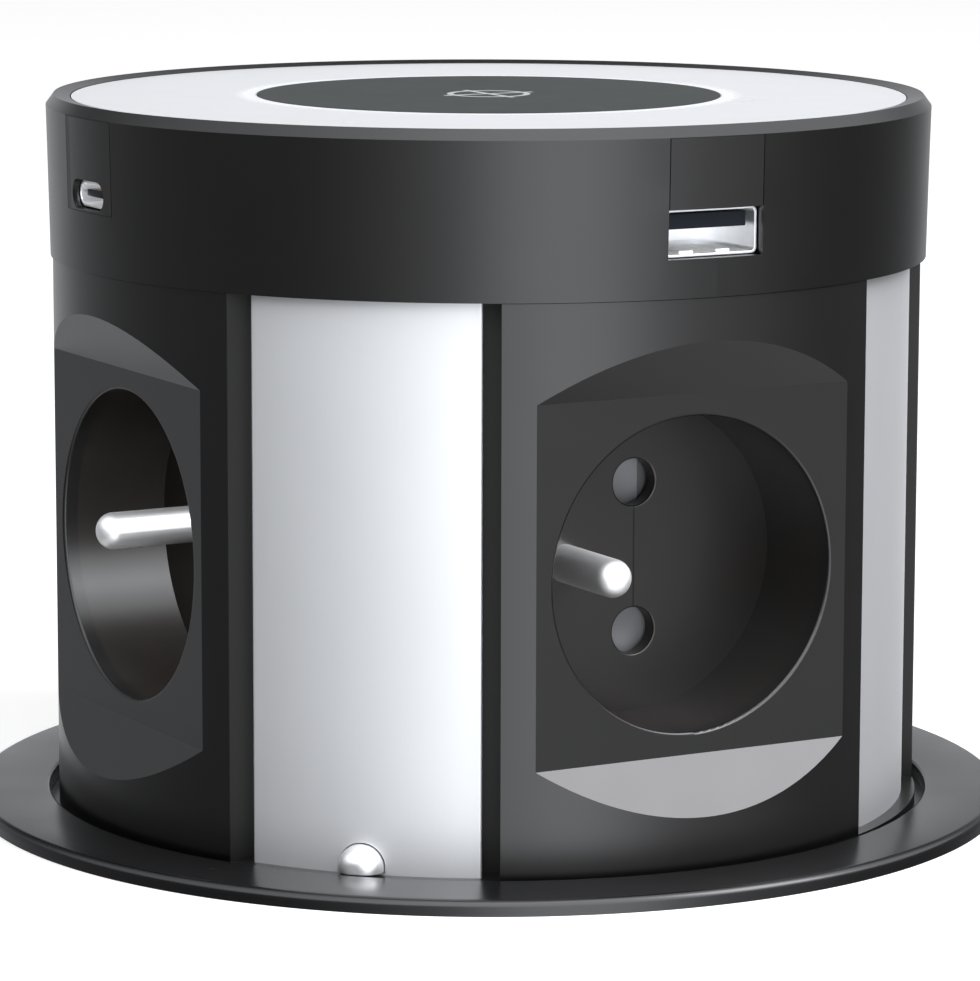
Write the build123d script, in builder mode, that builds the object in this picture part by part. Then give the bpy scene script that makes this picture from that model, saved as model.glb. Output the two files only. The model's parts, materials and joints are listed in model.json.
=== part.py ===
"""Pop up desk socket: a round power tower that slides up through a hole in a desk.

The origin is on the tower's axis, in the plane of the desk top, which the trim ring's underside
rests on. +Z is up. The sockets face +X, -Y, -X and +Y, and the pillars stand between them.
The tower is drawn raised. All lengths are in millimetres.
"""

from build123d import *
from math import cos, degrees, hypot, radians, sin, sqrt
import os

os.makedirs("parts", exist_ok=True)

# The tower's foot and head
foot_top = 1.5
seam = 0.1
parked_height = 3.6
head_height = 20.9
head_overhang = 0.3
head_draft = 0.4
head_chamfer_run = 1.0
head_chamfer_drop = 1.35
head_wall = 2.2
bezel_width = 3.15
bezel_dish = 0.35
bezel_depth = 2.0
ledge_width = 1.95
ledge_thickness = 1.5

# The flat socket face and its recess
recess_radius = 19.8
recess_depth = 14.5
recess_rim_round = 0.4
flat_side_margin = 2.42
flat_end_margin = 2.8
flat_wall = 2.0
end_rise = 7.0
body_margin = 5.95
socket_lift = 0.65
cup_wall = 1.6
cup_floor = 2.0
contact_spacing = 19.0
contact_hole_radius = 3.0
contact_hole_round = 0.25
earth_offset = 10.0
earth_pin_radius = 2.4
earth_pin_length = 14.0
earth_pin_round = 2.2
earth_shank_radius = 1.8

# The contact block behind a recess, and its shutter
block_width = 26.0
block_end_margin = 2.4
block_depth = 21.1
block_edge_round = 1.0
block_corner_gap = 2.0
shutter_bay_depth = 2.6
shutter_thickness = 2.2
shutter_pad_width = 8.4
shutter_pad_height = 7.8
shutter_bridge_width = 3.0
shutter_travel = 7.0
shutter_ramp_drop = 1.2
shutter_bay_spare = 0.5
sleeve_wall = 0.65
sleeve_bore_radius = 2.35
sleeve_back_room = 4.3
sleeve_floor = 1.2
sleeve_slot = 0.9
sleeve_slot_share = 0.63
tail_width = 4.0
tail_thickness = 1.0
leaf_thickness = 0.35
leaf_width = 1.6
leaf_folds = 5
leaf_height = 8.4

# The bus bars and the core tube
bus_thickness = 1.2
bus_gap = 0.1
core_radius = 6.9
core_wall = 1.4

# The panels' skins and the pillars between them
panel_wall = 2.0
panel_return = 1.6
tongue_thickness = 1.5
tongue_reach = 3.0
groove_width = 2.3
strip_half_angle = 15.5
strip_setback = 1.8
strip_thickness = 2.4
strip_edge_round = 0.3
channel_setback = 4.3
channel_boss_wall = 1.1
channel_web = 1.6
channel_gap = 0.3

# The latches
latch_width = 5.8
latch_height = 3.3
latch_round = 2.4
latch_lift = 0.5
latch_foot_lap = 1.2
latch_foot_height = 6.0
latch_foot_thickness = 2.0
latch_guide_wall = 1.7
latch_guide_length = 14.0
latch_play = 0.12
latch_ring_gap = 0.3
latch_spring_radius = 1.9
latch_spring_wire = 0.5
latch_spring_turns = 5

# The tower's base
deck_thickness = 3.0
skirt_depth = 12.5
skirt_wall = 2.6
stop_flange_thickness = 2.4
guide_flange_height = 2.0

# The trim ring and what is under the desk
trim_play = 1.25
trim_lap = 1.0
trim_overhang = 6.55
trim_thickness = 2.0
trim_edge_round = 1.0
trim_bore_round = 0.4
trim_pocket_depth = 1.0
gasket_inset = 1.6
gasket_width = 3.2
gasket_thickness = 0.8
collar_play = 0.35
collar_wall = 2.2
collar_lip_width = 9.7
collar_lip_thickness = 1.8
desk_thickness = 25.0
washer_play = 0.5
washer_width = 10.6
washer_thickness = 3.0
nut_play = 0.3
nut_wall = 8.8
nut_height = 10.0
nut_lug_depth = 2.0
nut_lug_width = 12.0
nut_lug_count = 12
nut_gap = 0.2

# The cable gland
gland_wall = 3.5
gland_bore_radius = 4.5
gland_hex_lap = 3.0
gland_hex_height = 5.0
gland_dome_height = 5.0
gland_dome_lap = 1.0
gland_nut_height = 3.0

# What is in the head
deck_plate_thickness = 2.4
deck_plate_play = 0.2
disc_thickness = 1.6
disc_play = 0.15
pad_radius = 30.3
pad_depth = 0.8
pad_proud = 0.05
light_ring_width = 1.6
coil_bore_radius = 10.0
coil_width = 12.0
coil_thickness = 2.0
ferrite_margin = 2.0
ferrite_thickness = 1.2
board_thickness = 1.6
charger_board_margin = 14.0
post_radius = 2.5
post_margin = 1.5
usb_a_width = 13.1
usb_a_height = 5.8
usb_a_length = 14.0
usb_a_rise = 7.8
usb_tongue_margin = 1.0
usb_tongue_thickness = 1.9
usb_tongue_setback = 2.0
usb_c_width = 9.0
usb_c_height = 3.3
usb_c_length = 8.0
usb_c_rise = 9.9
usb_c_tongue_margin = 1.15
usb_c_tongue_thickness = 0.7
usb_c_tongue_setback = 1.2
usb_wall = 0.3
usb_a_setback = 1.5
usb_c_setback = 0.9
insert_play = 0.15
insert_seam = 0.12
insert_sill = 0.45
usb_board_margin = 3.45
usb_board_length = 22.0

# The screws
screw_radius = 1.4
screw_head_radius = 2.6
screw_head_height = 1.6
screw_length = 8.0
screw_socket_radius = 1.2
screw_socket_depth = 0.9

# Clearances
fit_gap = 0.05
part_gap = 0.1
slide_gap = 0.2
overrun = 10.0

# The socket stack, from the axis outwards, sets the tower's radius
block_back = block_width / 2 + block_corner_gap
floor_back = block_back + block_depth
floor_distance = floor_back + cup_floor
flat_distance = floor_distance + recess_depth
flat_back = flat_distance - flat_wall
flat_half_width = recess_radius + flat_side_margin
tower_radius = hypot(flat_distance, flat_half_width)
bay_floor = floor_back - shutter_bay_depth
bus_half_side = block_back - 2 * bus_gap - fit_gap
contact_offset = contact_spacing / 2
sleeve_radius = sleeve_bore_radius + sleeve_wall
sleeve_length = bay_floor - block_back - sleeve_back_room
block_height = contact_spacing + shutter_pad_height + 2 * block_end_margin

# The heights of the body and the head
flat_height = 2 * (recess_radius + flat_end_margin)
flat_depth = tower_radius - flat_distance
end_slope = end_rise / flat_depth
end_wall_rise = flat_wall * hypot(1, end_slope)
body_height = flat_height + 2 * end_rise + 2 * body_margin
body_top = foot_top + body_height
socket_height = foot_top + body_height / 2 + socket_lift
flat_top = socket_height + flat_height / 2
flat_bottom = socket_height - flat_height / 2
head_bottom = body_top + seam
raised_top = head_bottom + head_height
travel_length = raised_top - parked_height
chamfer_foot = raised_top - head_chamfer_drop
disc_seat = raised_top - bezel_depth
plate_top = body_top + deck_plate_thickness
coil_top = disc_seat
ferrite_top = coil_top - coil_thickness
charger_board_top = ferrite_top - ferrite_thickness
usb_a_centre = head_bottom + usb_a_rise
usb_c_centre = head_bottom + usb_c_rise
usb_a_bottom = usb_a_centre - usb_a_height / 2
usb_c_bottom = usb_c_centre - usb_c_height / 2

# The radii and angles of the tower's plan
head_bottom_radius = tower_radius + head_overhang
head_top_radius = head_bottom_radius + head_draft
head_inner_radius = head_bottom_radius - head_wall
bezel_radius = head_top_radius - bezel_width
ledge_radius = bezel_radius - ledge_width
strip_radius = tower_radius - strip_setback
strip_back_radius = strip_radius - strip_thickness
groove_angle = degrees(groove_width / tower_radius)
panel_half_angle = 45 - strip_half_angle - groove_angle
panel_inner_radius = tower_radius - panel_wall
tongue_radius = strip_back_radius - part_gap
tongue_inner_radius = tongue_radius - tongue_thickness
tongue_angle = panel_half_angle + degrees(tongue_reach / tongue_radius)
return_angle = panel_half_angle - degrees(panel_return / panel_inner_radius)
latch_foot_width = latch_width + 2 * latch_foot_lap
guide_inner_width = latch_foot_width + 2 * slide_gap
guide_width = guide_inner_width + 2 * latch_guide_wall
screw_hole_radius = screw_radius + part_gap
channel_boss_radius = screw_hole_radius + channel_boss_wall
channel_distance = strip_back_radius - channel_setback
channel_side = guide_width / 2 + channel_gap + channel_boss_radius
core_bore_radius = core_radius - core_wall
coil_radius = coil_bore_radius + coil_width
ferrite_radius = coil_radius + ferrite_margin
charger_board_radius = ferrite_radius + charger_board_margin
post_circle_radius = charger_board_radius - post_radius - post_margin

# The radii and heights of the base, the collar and the clamp
trim_bore_radius = tower_radius + trim_play
stop_flange_radius = trim_bore_radius + trim_lap
collar_bore_radius = stop_flange_radius + collar_play
collar_radius = collar_bore_radius + collar_wall
collar_lip_radius = collar_bore_radius - collar_lip_width
trim_radius = collar_radius + trim_overhang
gasket_inner_radius = collar_radius + gasket_inset
washer_bore_radius = collar_radius + washer_play
washer_radius = washer_bore_radius + washer_width
nut_bore_radius = collar_radius + nut_play
nut_radius = nut_bore_radius + nut_wall
deck_underside = foot_top - deck_thickness
skirt_bottom = deck_underside - skirt_depth
collar_top = trim_pocket_depth
collar_bottom = skirt_bottom - travel_length - slide_gap - collar_lip_thickness
gland_thread_radius = gland_bore_radius + gland_wall
gland_hex_radius = gland_thread_radius + gland_hex_lap
gland_dome_radius = gland_thread_radius + gland_dome_lap

side_turns = {"right": 0, "back": 90, "left": 180, "front": 270}
pillar_turns = {"back_right": 45, "back_left": 135, "front_left": 225, "front_right": 315}
latch_turns = {"front": 315, "back": 135}


def polar(radius, angle):
    """A point of the plan, by its distance from the axis and its angle from +X."""
    return (radius * cos(radians(angle)), radius * sin(radians(angle)))


def facing(distance, height):
    """A plane square to +X: its x is the tower's +Y and its y is up."""
    return Plane(origin=(distance, 0, height), x_dir=(0, 1, 0), z_dir=(1, 0, 0))


def at_channels(radius):
    """Circles of one radius at all the pillars' screw channels."""
    with BuildSketch() as circles:
        for turn in pillar_turns.values():
            with Locations(Location((0, 0, 0), (0, 0, turn))):
                with Locations((channel_distance, -channel_side), (channel_distance, channel_side)):
                    Circle(radius)
    return circles.sketch


def save(builder, name):
    """Label a finished piece and write it as its own file."""
    builder.part.label = name
    export_step(builder.part, f"parts/{name}.step")


def save_turned(builder, name, turn):
    """Write a copy of a piece that is turned about the tower's axis."""
    with BuildPart() as turned:
        add(builder.part, rotation=(0, 0, turn))
    save(turned, name)


# The trim ring, with a pocket for the collar's end and a groove for the gasket
with BuildPart() as trim_ring:
    with BuildSketch(Plane.XZ):
        with BuildLine():
            Polyline(
                (trim_bore_radius, 0),
                (trim_bore_radius, trim_thickness),
                (trim_radius, trim_thickness),
                (trim_radius, 0),
                close=True,
            )
        make_face()
    revolve(axis=Axis.Z)
    top_edges = trim_ring.faces().sort_by(Axis.Z)[-1].edges().sort_by(SortBy.RADIUS)
    fillet(top_edges[-1], trim_edge_round)
    fillet(trim_ring.faces().sort_by(Axis.Z)[-1].edges().sort_by(SortBy.RADIUS)[0], trim_bore_round)
    with BuildSketch():
        Circle(collar_radius + fit_gap)
        Circle(collar_bore_radius - part_gap, mode=Mode.SUBTRACT)
    extrude(amount=trim_pocket_depth, mode=Mode.SUBTRACT)
    with BuildSketch():
        Circle(gasket_inner_radius + gasket_width + fit_gap)
        Circle(gasket_inner_radius - fit_gap, mode=Mode.SUBTRACT)
    extrude(amount=gasket_thickness, mode=Mode.SUBTRACT)
save(trim_ring, "trim_ring")

with BuildPart() as desk_gasket:
    with BuildSketch():
        Circle(gasket_inner_radius + gasket_width)
        Circle(gasket_inner_radius, mode=Mode.SUBTRACT)
    extrude(amount=gasket_thickness)
save(desk_gasket, "desk_gasket")

# The collar: the barrel that the tower slides in, with an inward lip that ends the travel
with BuildPart() as collar:
    with BuildSketch(Plane.XY.offset(collar_bottom)):
        Circle(collar_radius)
    extrude(amount=collar_top - collar_bottom)
    with BuildSketch(Plane.XY.offset(collar_bottom + collar_lip_thickness)):
        Circle(collar_bore_radius)
    extrude(until=Until.LAST, mode=Mode.SUBTRACT)
    with BuildSketch(Plane.XY.offset(collar_bottom)):
        Circle(collar_lip_radius)
    extrude(amount=collar_lip_thickness, mode=Mode.SUBTRACT)
save(collar, "collar")

# The clamp washer and the ring nut that clamp the desk top from below
washer_top = -desk_thickness
with BuildPart() as clamp_washer:
    with BuildSketch(Plane.XY.offset(washer_top - washer_thickness)):
        Circle(washer_radius)
        Circle(washer_bore_radius, mode=Mode.SUBTRACT)
    extrude(amount=washer_thickness)
    chamfer(clamp_washer.edges().group_by(Axis.Z)[-1].sort_by(SortBy.RADIUS)[-1], washer_thickness / 3)
save(clamp_washer, "clamp_washer")

nut_top = washer_top - washer_thickness - nut_gap
with BuildPart() as ring_nut:
    with BuildSketch(Plane.XY.offset(nut_top - nut_height)):
        Circle(nut_radius - nut_lug_depth)
        with PolarLocations(nut_radius - nut_lug_depth, nut_lug_count):
            Rectangle(nut_lug_depth * 2, nut_lug_width)
        Circle(nut_radius, mode=Mode.INTERSECT)
        Circle(nut_bore_radius, mode=Mode.SUBTRACT)
    extrude(amount=nut_height)
    with BuildSketch(Plane.XY.offset(nut_top - nut_height / 3)):
        Circle(nut_radius)
        Circle(nut_bore_radius, mode=Mode.SUBTRACT)
    extrude(amount=nut_height / 3)
save(ring_nut, "ring_nut")

# The tower's base: a deck with a skirt, a stop flange under the trim ring and a guide flange
guide_front = strip_back_radius - channel_web
guide_back = guide_front - latch_guide_length
latch_bottom = foot_top + latch_lift
guide_roof = latch_bottom + latch_foot_height + slide_gap
with BuildPart() as tower_base:
    with BuildSketch(Plane.XY.offset(skirt_bottom)):
        Circle(tower_radius)
    extrude(amount=foot_top - skirt_bottom)
    with BuildSketch(Plane.XY.offset(-seam - stop_flange_thickness)):
        Circle(stop_flange_radius)
    extrude(amount=stop_flange_thickness)
    with BuildSketch(Plane.XY.offset(skirt_bottom)):
        Circle(stop_flange_radius)
    extrude(amount=guide_flange_height)
    with BuildSketch(Plane.XY.offset(skirt_bottom)):
        Circle(tower_radius - skirt_wall)
    extrude(amount=skirt_depth, mode=Mode.SUBTRACT)
    with BuildSketch(Plane.XY.offset(foot_top)):
        with PolarLocations((guide_front + guide_back) / 2, 2, start_angle=latch_turns["back"]):
            Rectangle(latch_guide_length, guide_width)
    extrude(amount=guide_roof + latch_guide_wall - foot_top)
    with BuildSketch(Plane.XY.offset(latch_bottom - slide_gap)):
        with PolarLocations((guide_front + guide_back) / 2 + latch_guide_wall, 2,
                            start_angle=latch_turns["back"]):
            Rectangle(latch_guide_length, guide_inner_width)
    extrude(amount=guide_roof - latch_bottom + slide_gap, mode=Mode.SUBTRACT)
    with BuildSketch(Plane.XY.offset(deck_underside)):
        Circle(gland_thread_radius + part_gap)
        add(at_channels(screw_hole_radius))
    extrude(amount=deck_thickness, mode=Mode.SUBTRACT)
save(tower_base, "tower_base")

# The latches: a nose with a flat underside on a foot that a spring pushes outwards
nose_tip = trim_bore_radius - latch_ring_gap
foot_front = sqrt(strip_back_radius**2 - (latch_foot_width / 2) ** 2) - part_gap
foot_back = foot_front - latch_foot_thickness
nose_arc_centre = latch_height - latch_width / 2


def nose_outline(play):
    """The nose's section: a half round on a flat underside, grown by the play."""
    half = latch_width / 2 + play
    with BuildSketch() as section:
        with BuildLine():
            Line((-half, -play), (half, -play))
            Line((half, -play), (half, nose_arc_centre))
            ThreePointArc((half, nose_arc_centre), (0, nose_arc_centre + half), (-half, nose_arc_centre))
            Line((-half, nose_arc_centre), (-half, -play))
        make_face()
    return section.sketch


nose_section = nose_outline(0)
window_section = nose_outline(latch_play)
with BuildPart() as latch:
    with BuildSketch(facing(foot_back, latch_bottom)):
        add(nose_section)
    extrude(amount=nose_tip - foot_back)
    fillet(latch.faces().sort_by(Axis.X)[-1].edges().sort_by(Axis.Z)[-1], latch_round)
    with BuildSketch(facing(foot_back, latch_bottom)):
        Rectangle(latch_foot_width, latch_foot_height, align=(Align.CENTER, Align.MIN))
    extrude(amount=latch_foot_thickness)
for name, turn in latch_turns.items():
    save_turned(latch, f"latch_{name}", turn)

spring_back = guide_back + latch_guide_wall + part_gap
spring_length = foot_back - part_gap - spring_back - latch_spring_wire
spring_height = latch_bottom + latch_foot_height / 2
with BuildPart() as latch_spring:
    with BuildLine() as spring_path:
        Helix(
            pitch=spring_length / latch_spring_turns,
            height=spring_length,
            radius=latch_spring_radius,
            center=(spring_back + latch_spring_wire / 2, 0, spring_height),
            direction=(1, 0, 0),
        )
    with BuildSketch(Plane(origin=spring_path.line @ 0, z_dir=spring_path.line % 0)):
        Circle(latch_spring_wire / 2)
    sweep()
for name, turn in latch_turns.items():
    save_turned(latch_spring, f"latch_spring_{name}", turn)

# The pillars: extrusions with a curved satin face and two screw channels behind it
with BuildPart() as pillar:
    with BuildSketch(Plane.XY.offset(foot_top)):
        with BuildLine():
            front_arc = CenterArc((0, 0), strip_radius, -strip_half_angle, 2 * strip_half_angle)
            Line(front_arc @ 1, polar(strip_back_radius, strip_half_angle))
            back_arc = CenterArc((0, 0), strip_back_radius, -strip_half_angle, 2 * strip_half_angle)
            Line(front_arc @ 0, back_arc @ 0)
        make_face()
        for side in (-channel_side, channel_side):
            with Locations((channel_distance, side)):
                Circle(channel_boss_radius)
                Rectangle(strip_radius - strip_thickness / 2 - channel_distance, channel_web,
                          align=(Align.MIN, Align.CENTER))
            with Locations((channel_distance, side)):
                Circle(screw_hole_radius, mode=Mode.SUBTRACT)
    extrude(amount=body_height)
    long_edges = pillar.edges().filter_by(Axis.Z)
    fillet([edge for edge in long_edges if hypot(edge.center().X, edge.center().Y) > strip_radius - seam],
           strip_edge_round)
for name, turn in pillar_turns.items():
    if turn in latch_turns.values():
        with BuildPart() as latched_pillar:
            add(pillar.part)
            with BuildSketch(facing(strip_back_radius - strip_thickness, latch_bottom)):
                add(window_section)
            extrude(amount=2 * strip_thickness + overrun, mode=Mode.SUBTRACT)
        save_turned(latched_pillar, f"pillar_{name}", turn)
    else:
        save_turned(pillar, f"pillar_{name}", turn)

# The socket panels: a curved skin with edge returns, a flat face and two sloped ends
with BuildPart() as panel:
    with BuildSketch(Plane.XZ):
        with BuildLine():
            far = tower_radius + overrun
            rise = end_wall_rise + (far - flat_distance) * end_slope
            back_rise = end_wall_rise - flat_wall * end_slope
            Polyline(
                (flat_back, flat_bottom - back_rise),
                (flat_back, flat_top + back_rise),
                (far, flat_top + rise),
                (far, flat_bottom - rise),
                close=True,
            )
        make_face()
    extrude(amount=flat_half_width + panel_wall / 2, both=True)
    with BuildSketch(Plane.XY.offset(foot_top)):
        Circle(tower_radius)
    extrude(amount=body_height, mode=Mode.INTERSECT)
    with BuildSketch(Plane.XY.offset(foot_top)):
        with BuildLine():
            skin = CenterArc((0, 0), tower_radius, 0, panel_half_angle)
            Line(skin @ 1, polar(tongue_radius, panel_half_angle))
            CenterArc((0, 0), tongue_radius, panel_half_angle, tongue_angle - panel_half_angle)
            Line(polar(tongue_radius, tongue_angle), polar(tongue_inner_radius, tongue_angle))
            CenterArc((0, 0), tongue_inner_radius, return_angle, tongue_angle - return_angle)
            Line(polar(tongue_inner_radius, return_angle), polar(panel_inner_radius, return_angle))
            CenterArc((0, 0), panel_inner_radius, 0, return_angle)
            mirror(about=Plane.XZ)
        make_face()
    extrude(amount=body_height)
    with BuildSketch(Plane.XZ):
        with BuildLine():
            rise = (far - flat_distance) * end_slope
            Polyline(
                (flat_distance, flat_bottom),
                (flat_distance, flat_top),
                (far, flat_top + rise),
                (far, flat_bottom - rise),
                close=True,
            )
        make_face()
    extrude(amount=tower_radius, both=True, mode=Mode.SUBTRACT)
    with BuildSketch(facing(flat_back - overrun, socket_height)):
        Circle(recess_radius)
    extrude(amount=2 * overrun, mode=Mode.SUBTRACT)
    rim = panel.edges().filter_by(GeomType.CIRCLE).filter_by(
        lambda edge: abs(edge.radius - recess_radius) < fit_gap and edge.center().X > flat_back + fit_gap)
    fillet(rim, recess_rim_round)
for name, turn in side_turns.items():
    save_turned(panel, f"panel_{name}", turn)

# The cups: the round recess with its floor, the two contact holes and the earth pin's hole
with BuildPart() as cup:
    with BuildSketch(facing(floor_back, socket_height)):
        Circle(recess_radius + cup_wall)
    extrude(amount=flat_back - floor_back)
    with BuildSketch(facing(floor_distance, socket_height)):
        Circle(recess_radius)
    extrude(amount=flat_back - floor_distance, mode=Mode.SUBTRACT)
    with BuildSketch(facing(floor_back, socket_height)):
        with Locations((0, contact_offset), (0, -contact_offset)):
            Circle(contact_hole_radius)
        with Locations((-earth_offset, 0)):
            Circle(earth_shank_radius + fit_gap)
    extrude(amount=cup_floor, mode=Mode.SUBTRACT)
    hole_edges = cup.edges().filter_by(GeomType.CIRCLE).filter_by(
        lambda edge: abs(edge.radius - contact_hole_radius) < fit_gap and edge.center().X > bay_floor)
    fillet(hole_edges.group_by(Axis.X)[-1], contact_hole_round)
for name, turn in side_turns.items():
    save_turned(cup, f"cup_{name}", turn)

# The earth pins stand on a shoulder at the cup's floor; a thinner shank runs back to the earth bus bar
with BuildPart() as earth_pin:
    with BuildSketch(facing(floor_distance, socket_height)):
        with Locations((-earth_offset, 0)):
            Circle(earth_pin_radius)
    extrude(amount=earth_pin_length)
    fillet(earth_pin.edges().sort_by(Axis.X)[-1], earth_pin_round)
    with BuildSketch(facing(bus_half_side + bus_gap, socket_height)):
        with Locations((-earth_offset, 0)):
            Circle(earth_shank_radius)
    extrude(amount=floor_distance - bus_half_side - bus_gap)
for name, turn in side_turns.items():
    save_turned(earth_pin, f"earth_pin_{name}", turn)

# The contact blocks: a bay for the shutter in front and a chamber for each contact behind it
bay_low = -shutter_pad_width / 2 - slide_gap
bay_high = shutter_pad_width / 2 + shutter_travel + shutter_bay_spare
bay_height = contact_spacing + shutter_pad_height + 2 * slide_gap
with BuildPart() as block:
    with BuildSketch(facing(block_back, socket_height)):
        RectangleRounded(block_width, block_height, block_edge_round)
    extrude(amount=block_depth)
    with BuildSketch(facing(bay_floor, socket_height)):
        with Locations(((bay_low + bay_high) / 2, 0)):
            Rectangle(bay_high - bay_low, bay_height)
    extrude(amount=shutter_bay_depth, mode=Mode.SUBTRACT)
    with BuildSketch(facing(bay_floor - sleeve_length - part_gap, socket_height)):
        with Locations((0, contact_offset), (0, -contact_offset)):
            Circle(sleeve_radius + part_gap)
    extrude(amount=sleeve_length + part_gap, mode=Mode.SUBTRACT)
    with BuildSketch(facing(block_back, socket_height)):
        with Locations((0, contact_offset), (0, -contact_offset)):
            Rectangle(tail_width + 2 * part_gap, tail_thickness + 2 * part_gap)
    extrude(amount=bay_floor - sleeve_length - block_back, mode=Mode.SUBTRACT)
    with BuildSketch(facing(block_back, socket_height)):
        with Locations((-earth_offset, 0)):
            Circle(earth_shank_radius + fit_gap)
    extrude(amount=block_depth, mode=Mode.SUBTRACT)
for name, turn in side_turns.items():
    save_turned(block, f"block_{name}", turn)

# The contacts: a slit spring sleeve for each pin, with a tail that reaches its bus bar
with BuildPart() as contacts:
    with BuildSketch(facing(bay_floor - sleeve_length, socket_height)):
        with Locations((0, contact_offset), (0, -contact_offset)):
            Circle(sleeve_radius)
    extrude(amount=sleeve_length)
    with BuildSketch(facing(bay_floor - sleeve_length + sleeve_floor, socket_height)):
        with Locations((0, contact_offset), (0, -contact_offset)):
            Circle(sleeve_bore_radius)
    extrude(amount=sleeve_length, mode=Mode.SUBTRACT)
    with BuildSketch(facing(bay_floor - sleeve_slot_share * sleeve_length, socket_height)):
        with Locations((0, contact_offset), (0, -contact_offset)):
            Rectangle(sleeve_slot, 3 * sleeve_radius)
    extrude(amount=sleeve_length, mode=Mode.SUBTRACT)
    with BuildSketch(facing(bus_half_side + bus_gap, socket_height)):
        with Locations((0, contact_offset), (0, -contact_offset)):
            Rectangle(tail_width, tail_thickness)
    extrude(amount=bay_floor - sleeve_length - bus_half_side - bus_gap)
for name, turn in side_turns.items():
    save_turned(contacts, f"contacts_{name}", turn)

# The shutters: two ramped pads on one bridge, which both pins push aside together
shutter_back = bay_floor + (shutter_bay_depth - shutter_thickness) / 2
with BuildPart() as shutter:
    with BuildSketch(facing(shutter_back, socket_height)):
        with Locations((0, contact_offset), (0, -contact_offset)):
            Rectangle(shutter_pad_width, shutter_pad_height)
        with Locations((-shutter_pad_width / 2, 0)):
            Rectangle(shutter_bridge_width, contact_spacing, align=(Align.MIN, Align.CENTER))
    extrude(amount=shutter_thickness)
    shutter_front = shutter_back + shutter_thickness
    with BuildSketch(Plane.XY.offset(socket_height - block_height / 2)):
        with BuildLine():
            Polyline(
                (shutter_front, -shutter_pad_width / 2),
                (shutter_front, shutter_pad_width / 2),
                (shutter_front - shutter_ramp_drop, -shutter_pad_width / 2),
                close=True,
            )
        make_face()
    extrude(amount=block_height, mode=Mode.SUBTRACT)
for name, turn in side_turns.items():
    save_turned(shutter, f"shutter_{name}", turn)

# The shutter springs: folded leaves between a shutter's bridge and the bay's far wall
leaf_low = -shutter_pad_width / 2 + shutter_bridge_width + part_gap + leaf_thickness
leaf_high = bay_high - part_gap - leaf_thickness
with BuildPart() as shutter_spring:
    with BuildSketch(facing(bay_floor + (shutter_bay_depth - leaf_width) / 2, socket_height)):
        with BuildLine():
            Polyline([
                (leaf_low + (leaf_high - leaf_low) * fold / leaf_folds, (-1) ** fold * leaf_height / 2)
                for fold in range(leaf_folds + 1)
            ])
        trace(line_width=leaf_thickness)
    extrude(amount=leaf_width)
for name, turn in side_turns.items():
    save_turned(shutter_spring, f"shutter_spring_{name}", turn)

# The bus bars: neutral, earth and live plates round the core tube
with BuildPart() as bus_bars:
    for height in (socket_height - contact_offset, socket_height, socket_height + contact_offset):
        with BuildSketch(Plane.XY.offset(height - bus_thickness / 2)):
            Rectangle(2 * bus_half_side, 2 * bus_half_side)
            Circle(core_radius + fit_gap, mode=Mode.SUBTRACT)
        extrude(amount=bus_thickness)
save(bus_bars, "bus_bars")

core_bottom = foot_top + gland_nut_height
with BuildPart() as core_tube:
    with BuildSketch(Plane.XY.offset(core_bottom)):
        Circle(core_radius)
        Circle(core_bore_radius, mode=Mode.SUBTRACT)
    extrude(amount=body_top - core_bottom)
save(core_tube, "core_tube")

# The cable gland in the base's deck, with its nut above
with BuildPart() as cable_gland:
    with BuildSketch(Plane.XY.offset(deck_underside - gland_hex_height)):
        RegularPolygon(gland_hex_radius, 6)
    extrude(amount=gland_hex_height)
    with BuildSketch(Plane.XY.offset(deck_underside)):
        Circle(gland_thread_radius)
    extrude(amount=deck_thickness + gland_nut_height)
    with BuildSketch(Plane.XY.offset(deck_underside - gland_hex_height - gland_dome_height)):
        Circle(gland_dome_radius)
    extrude(amount=gland_dome_height)
    fillet(cable_gland.faces().sort_by(Axis.Z)[0].edges(), gland_dome_height / 2)
    with BuildSketch(Plane.XY.offset(deck_underside - gland_hex_height - gland_dome_height)):
        Circle(gland_bore_radius)
    extrude(until=Until.LAST, mode=Mode.SUBTRACT)
save(cable_gland, "cable_gland")

with BuildPart() as gland_nut:
    with BuildSketch(Plane.XY.offset(foot_top)):
        RegularPolygon(gland_hex_radius, 6)
        Circle(gland_thread_radius + fit_gap, mode=Mode.SUBTRACT)
    extrude(amount=gland_nut_height)
save(gland_nut, "gland_nut")

# The head's deck, with posts for the boards and holes for the screws and the leads
charger_board_bottom = charger_board_top - board_thickness
usb_a_board_bottom = usb_a_bottom - board_thickness
usb_c_board_bottom = usb_c_bottom - board_thickness
usb_board_width = usb_a_width + 2 * usb_board_margin
usb_board_front = sqrt(head_inner_radius**2 - (usb_board_width / 2) ** 2) - part_gap
usb_board_middle = usb_board_front - usb_board_length / 2
usb_post_shares = (0.3, -0.3)
with BuildPart() as head_deck:
    with BuildSketch(Plane.XY.offset(body_top)):
        Circle(head_inner_radius - deck_plate_play)
    extrude(amount=deck_plate_thickness)
    with BuildSketch(Plane.XY.offset(plate_top)):
        with PolarLocations(post_circle_radius, 4, start_angle=45):
            Circle(post_radius)
    extrude(amount=charger_board_bottom - plate_top)
    for share in usb_post_shares:
        with BuildSketch(Plane.XY.offset(plate_top)):
            with Locations((usb_board_middle + share * usb_board_length, 0)):
                Circle(post_radius)
        extrude(amount=usb_a_board_bottom - plate_top)
        with BuildSketch(Plane.XY.offset(plate_top)):
            with Locations((0, -usb_board_middle - share * usb_board_length)):
                Circle(post_radius)
        extrude(amount=usb_c_board_bottom - plate_top)
    with BuildSketch(Plane.XY.offset(body_top)):
        Circle(core_bore_radius)
        add(at_channels(screw_hole_radius))
    extrude(amount=deck_plate_thickness, mode=Mode.SUBTRACT)
save(head_deck, "head_deck")


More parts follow.
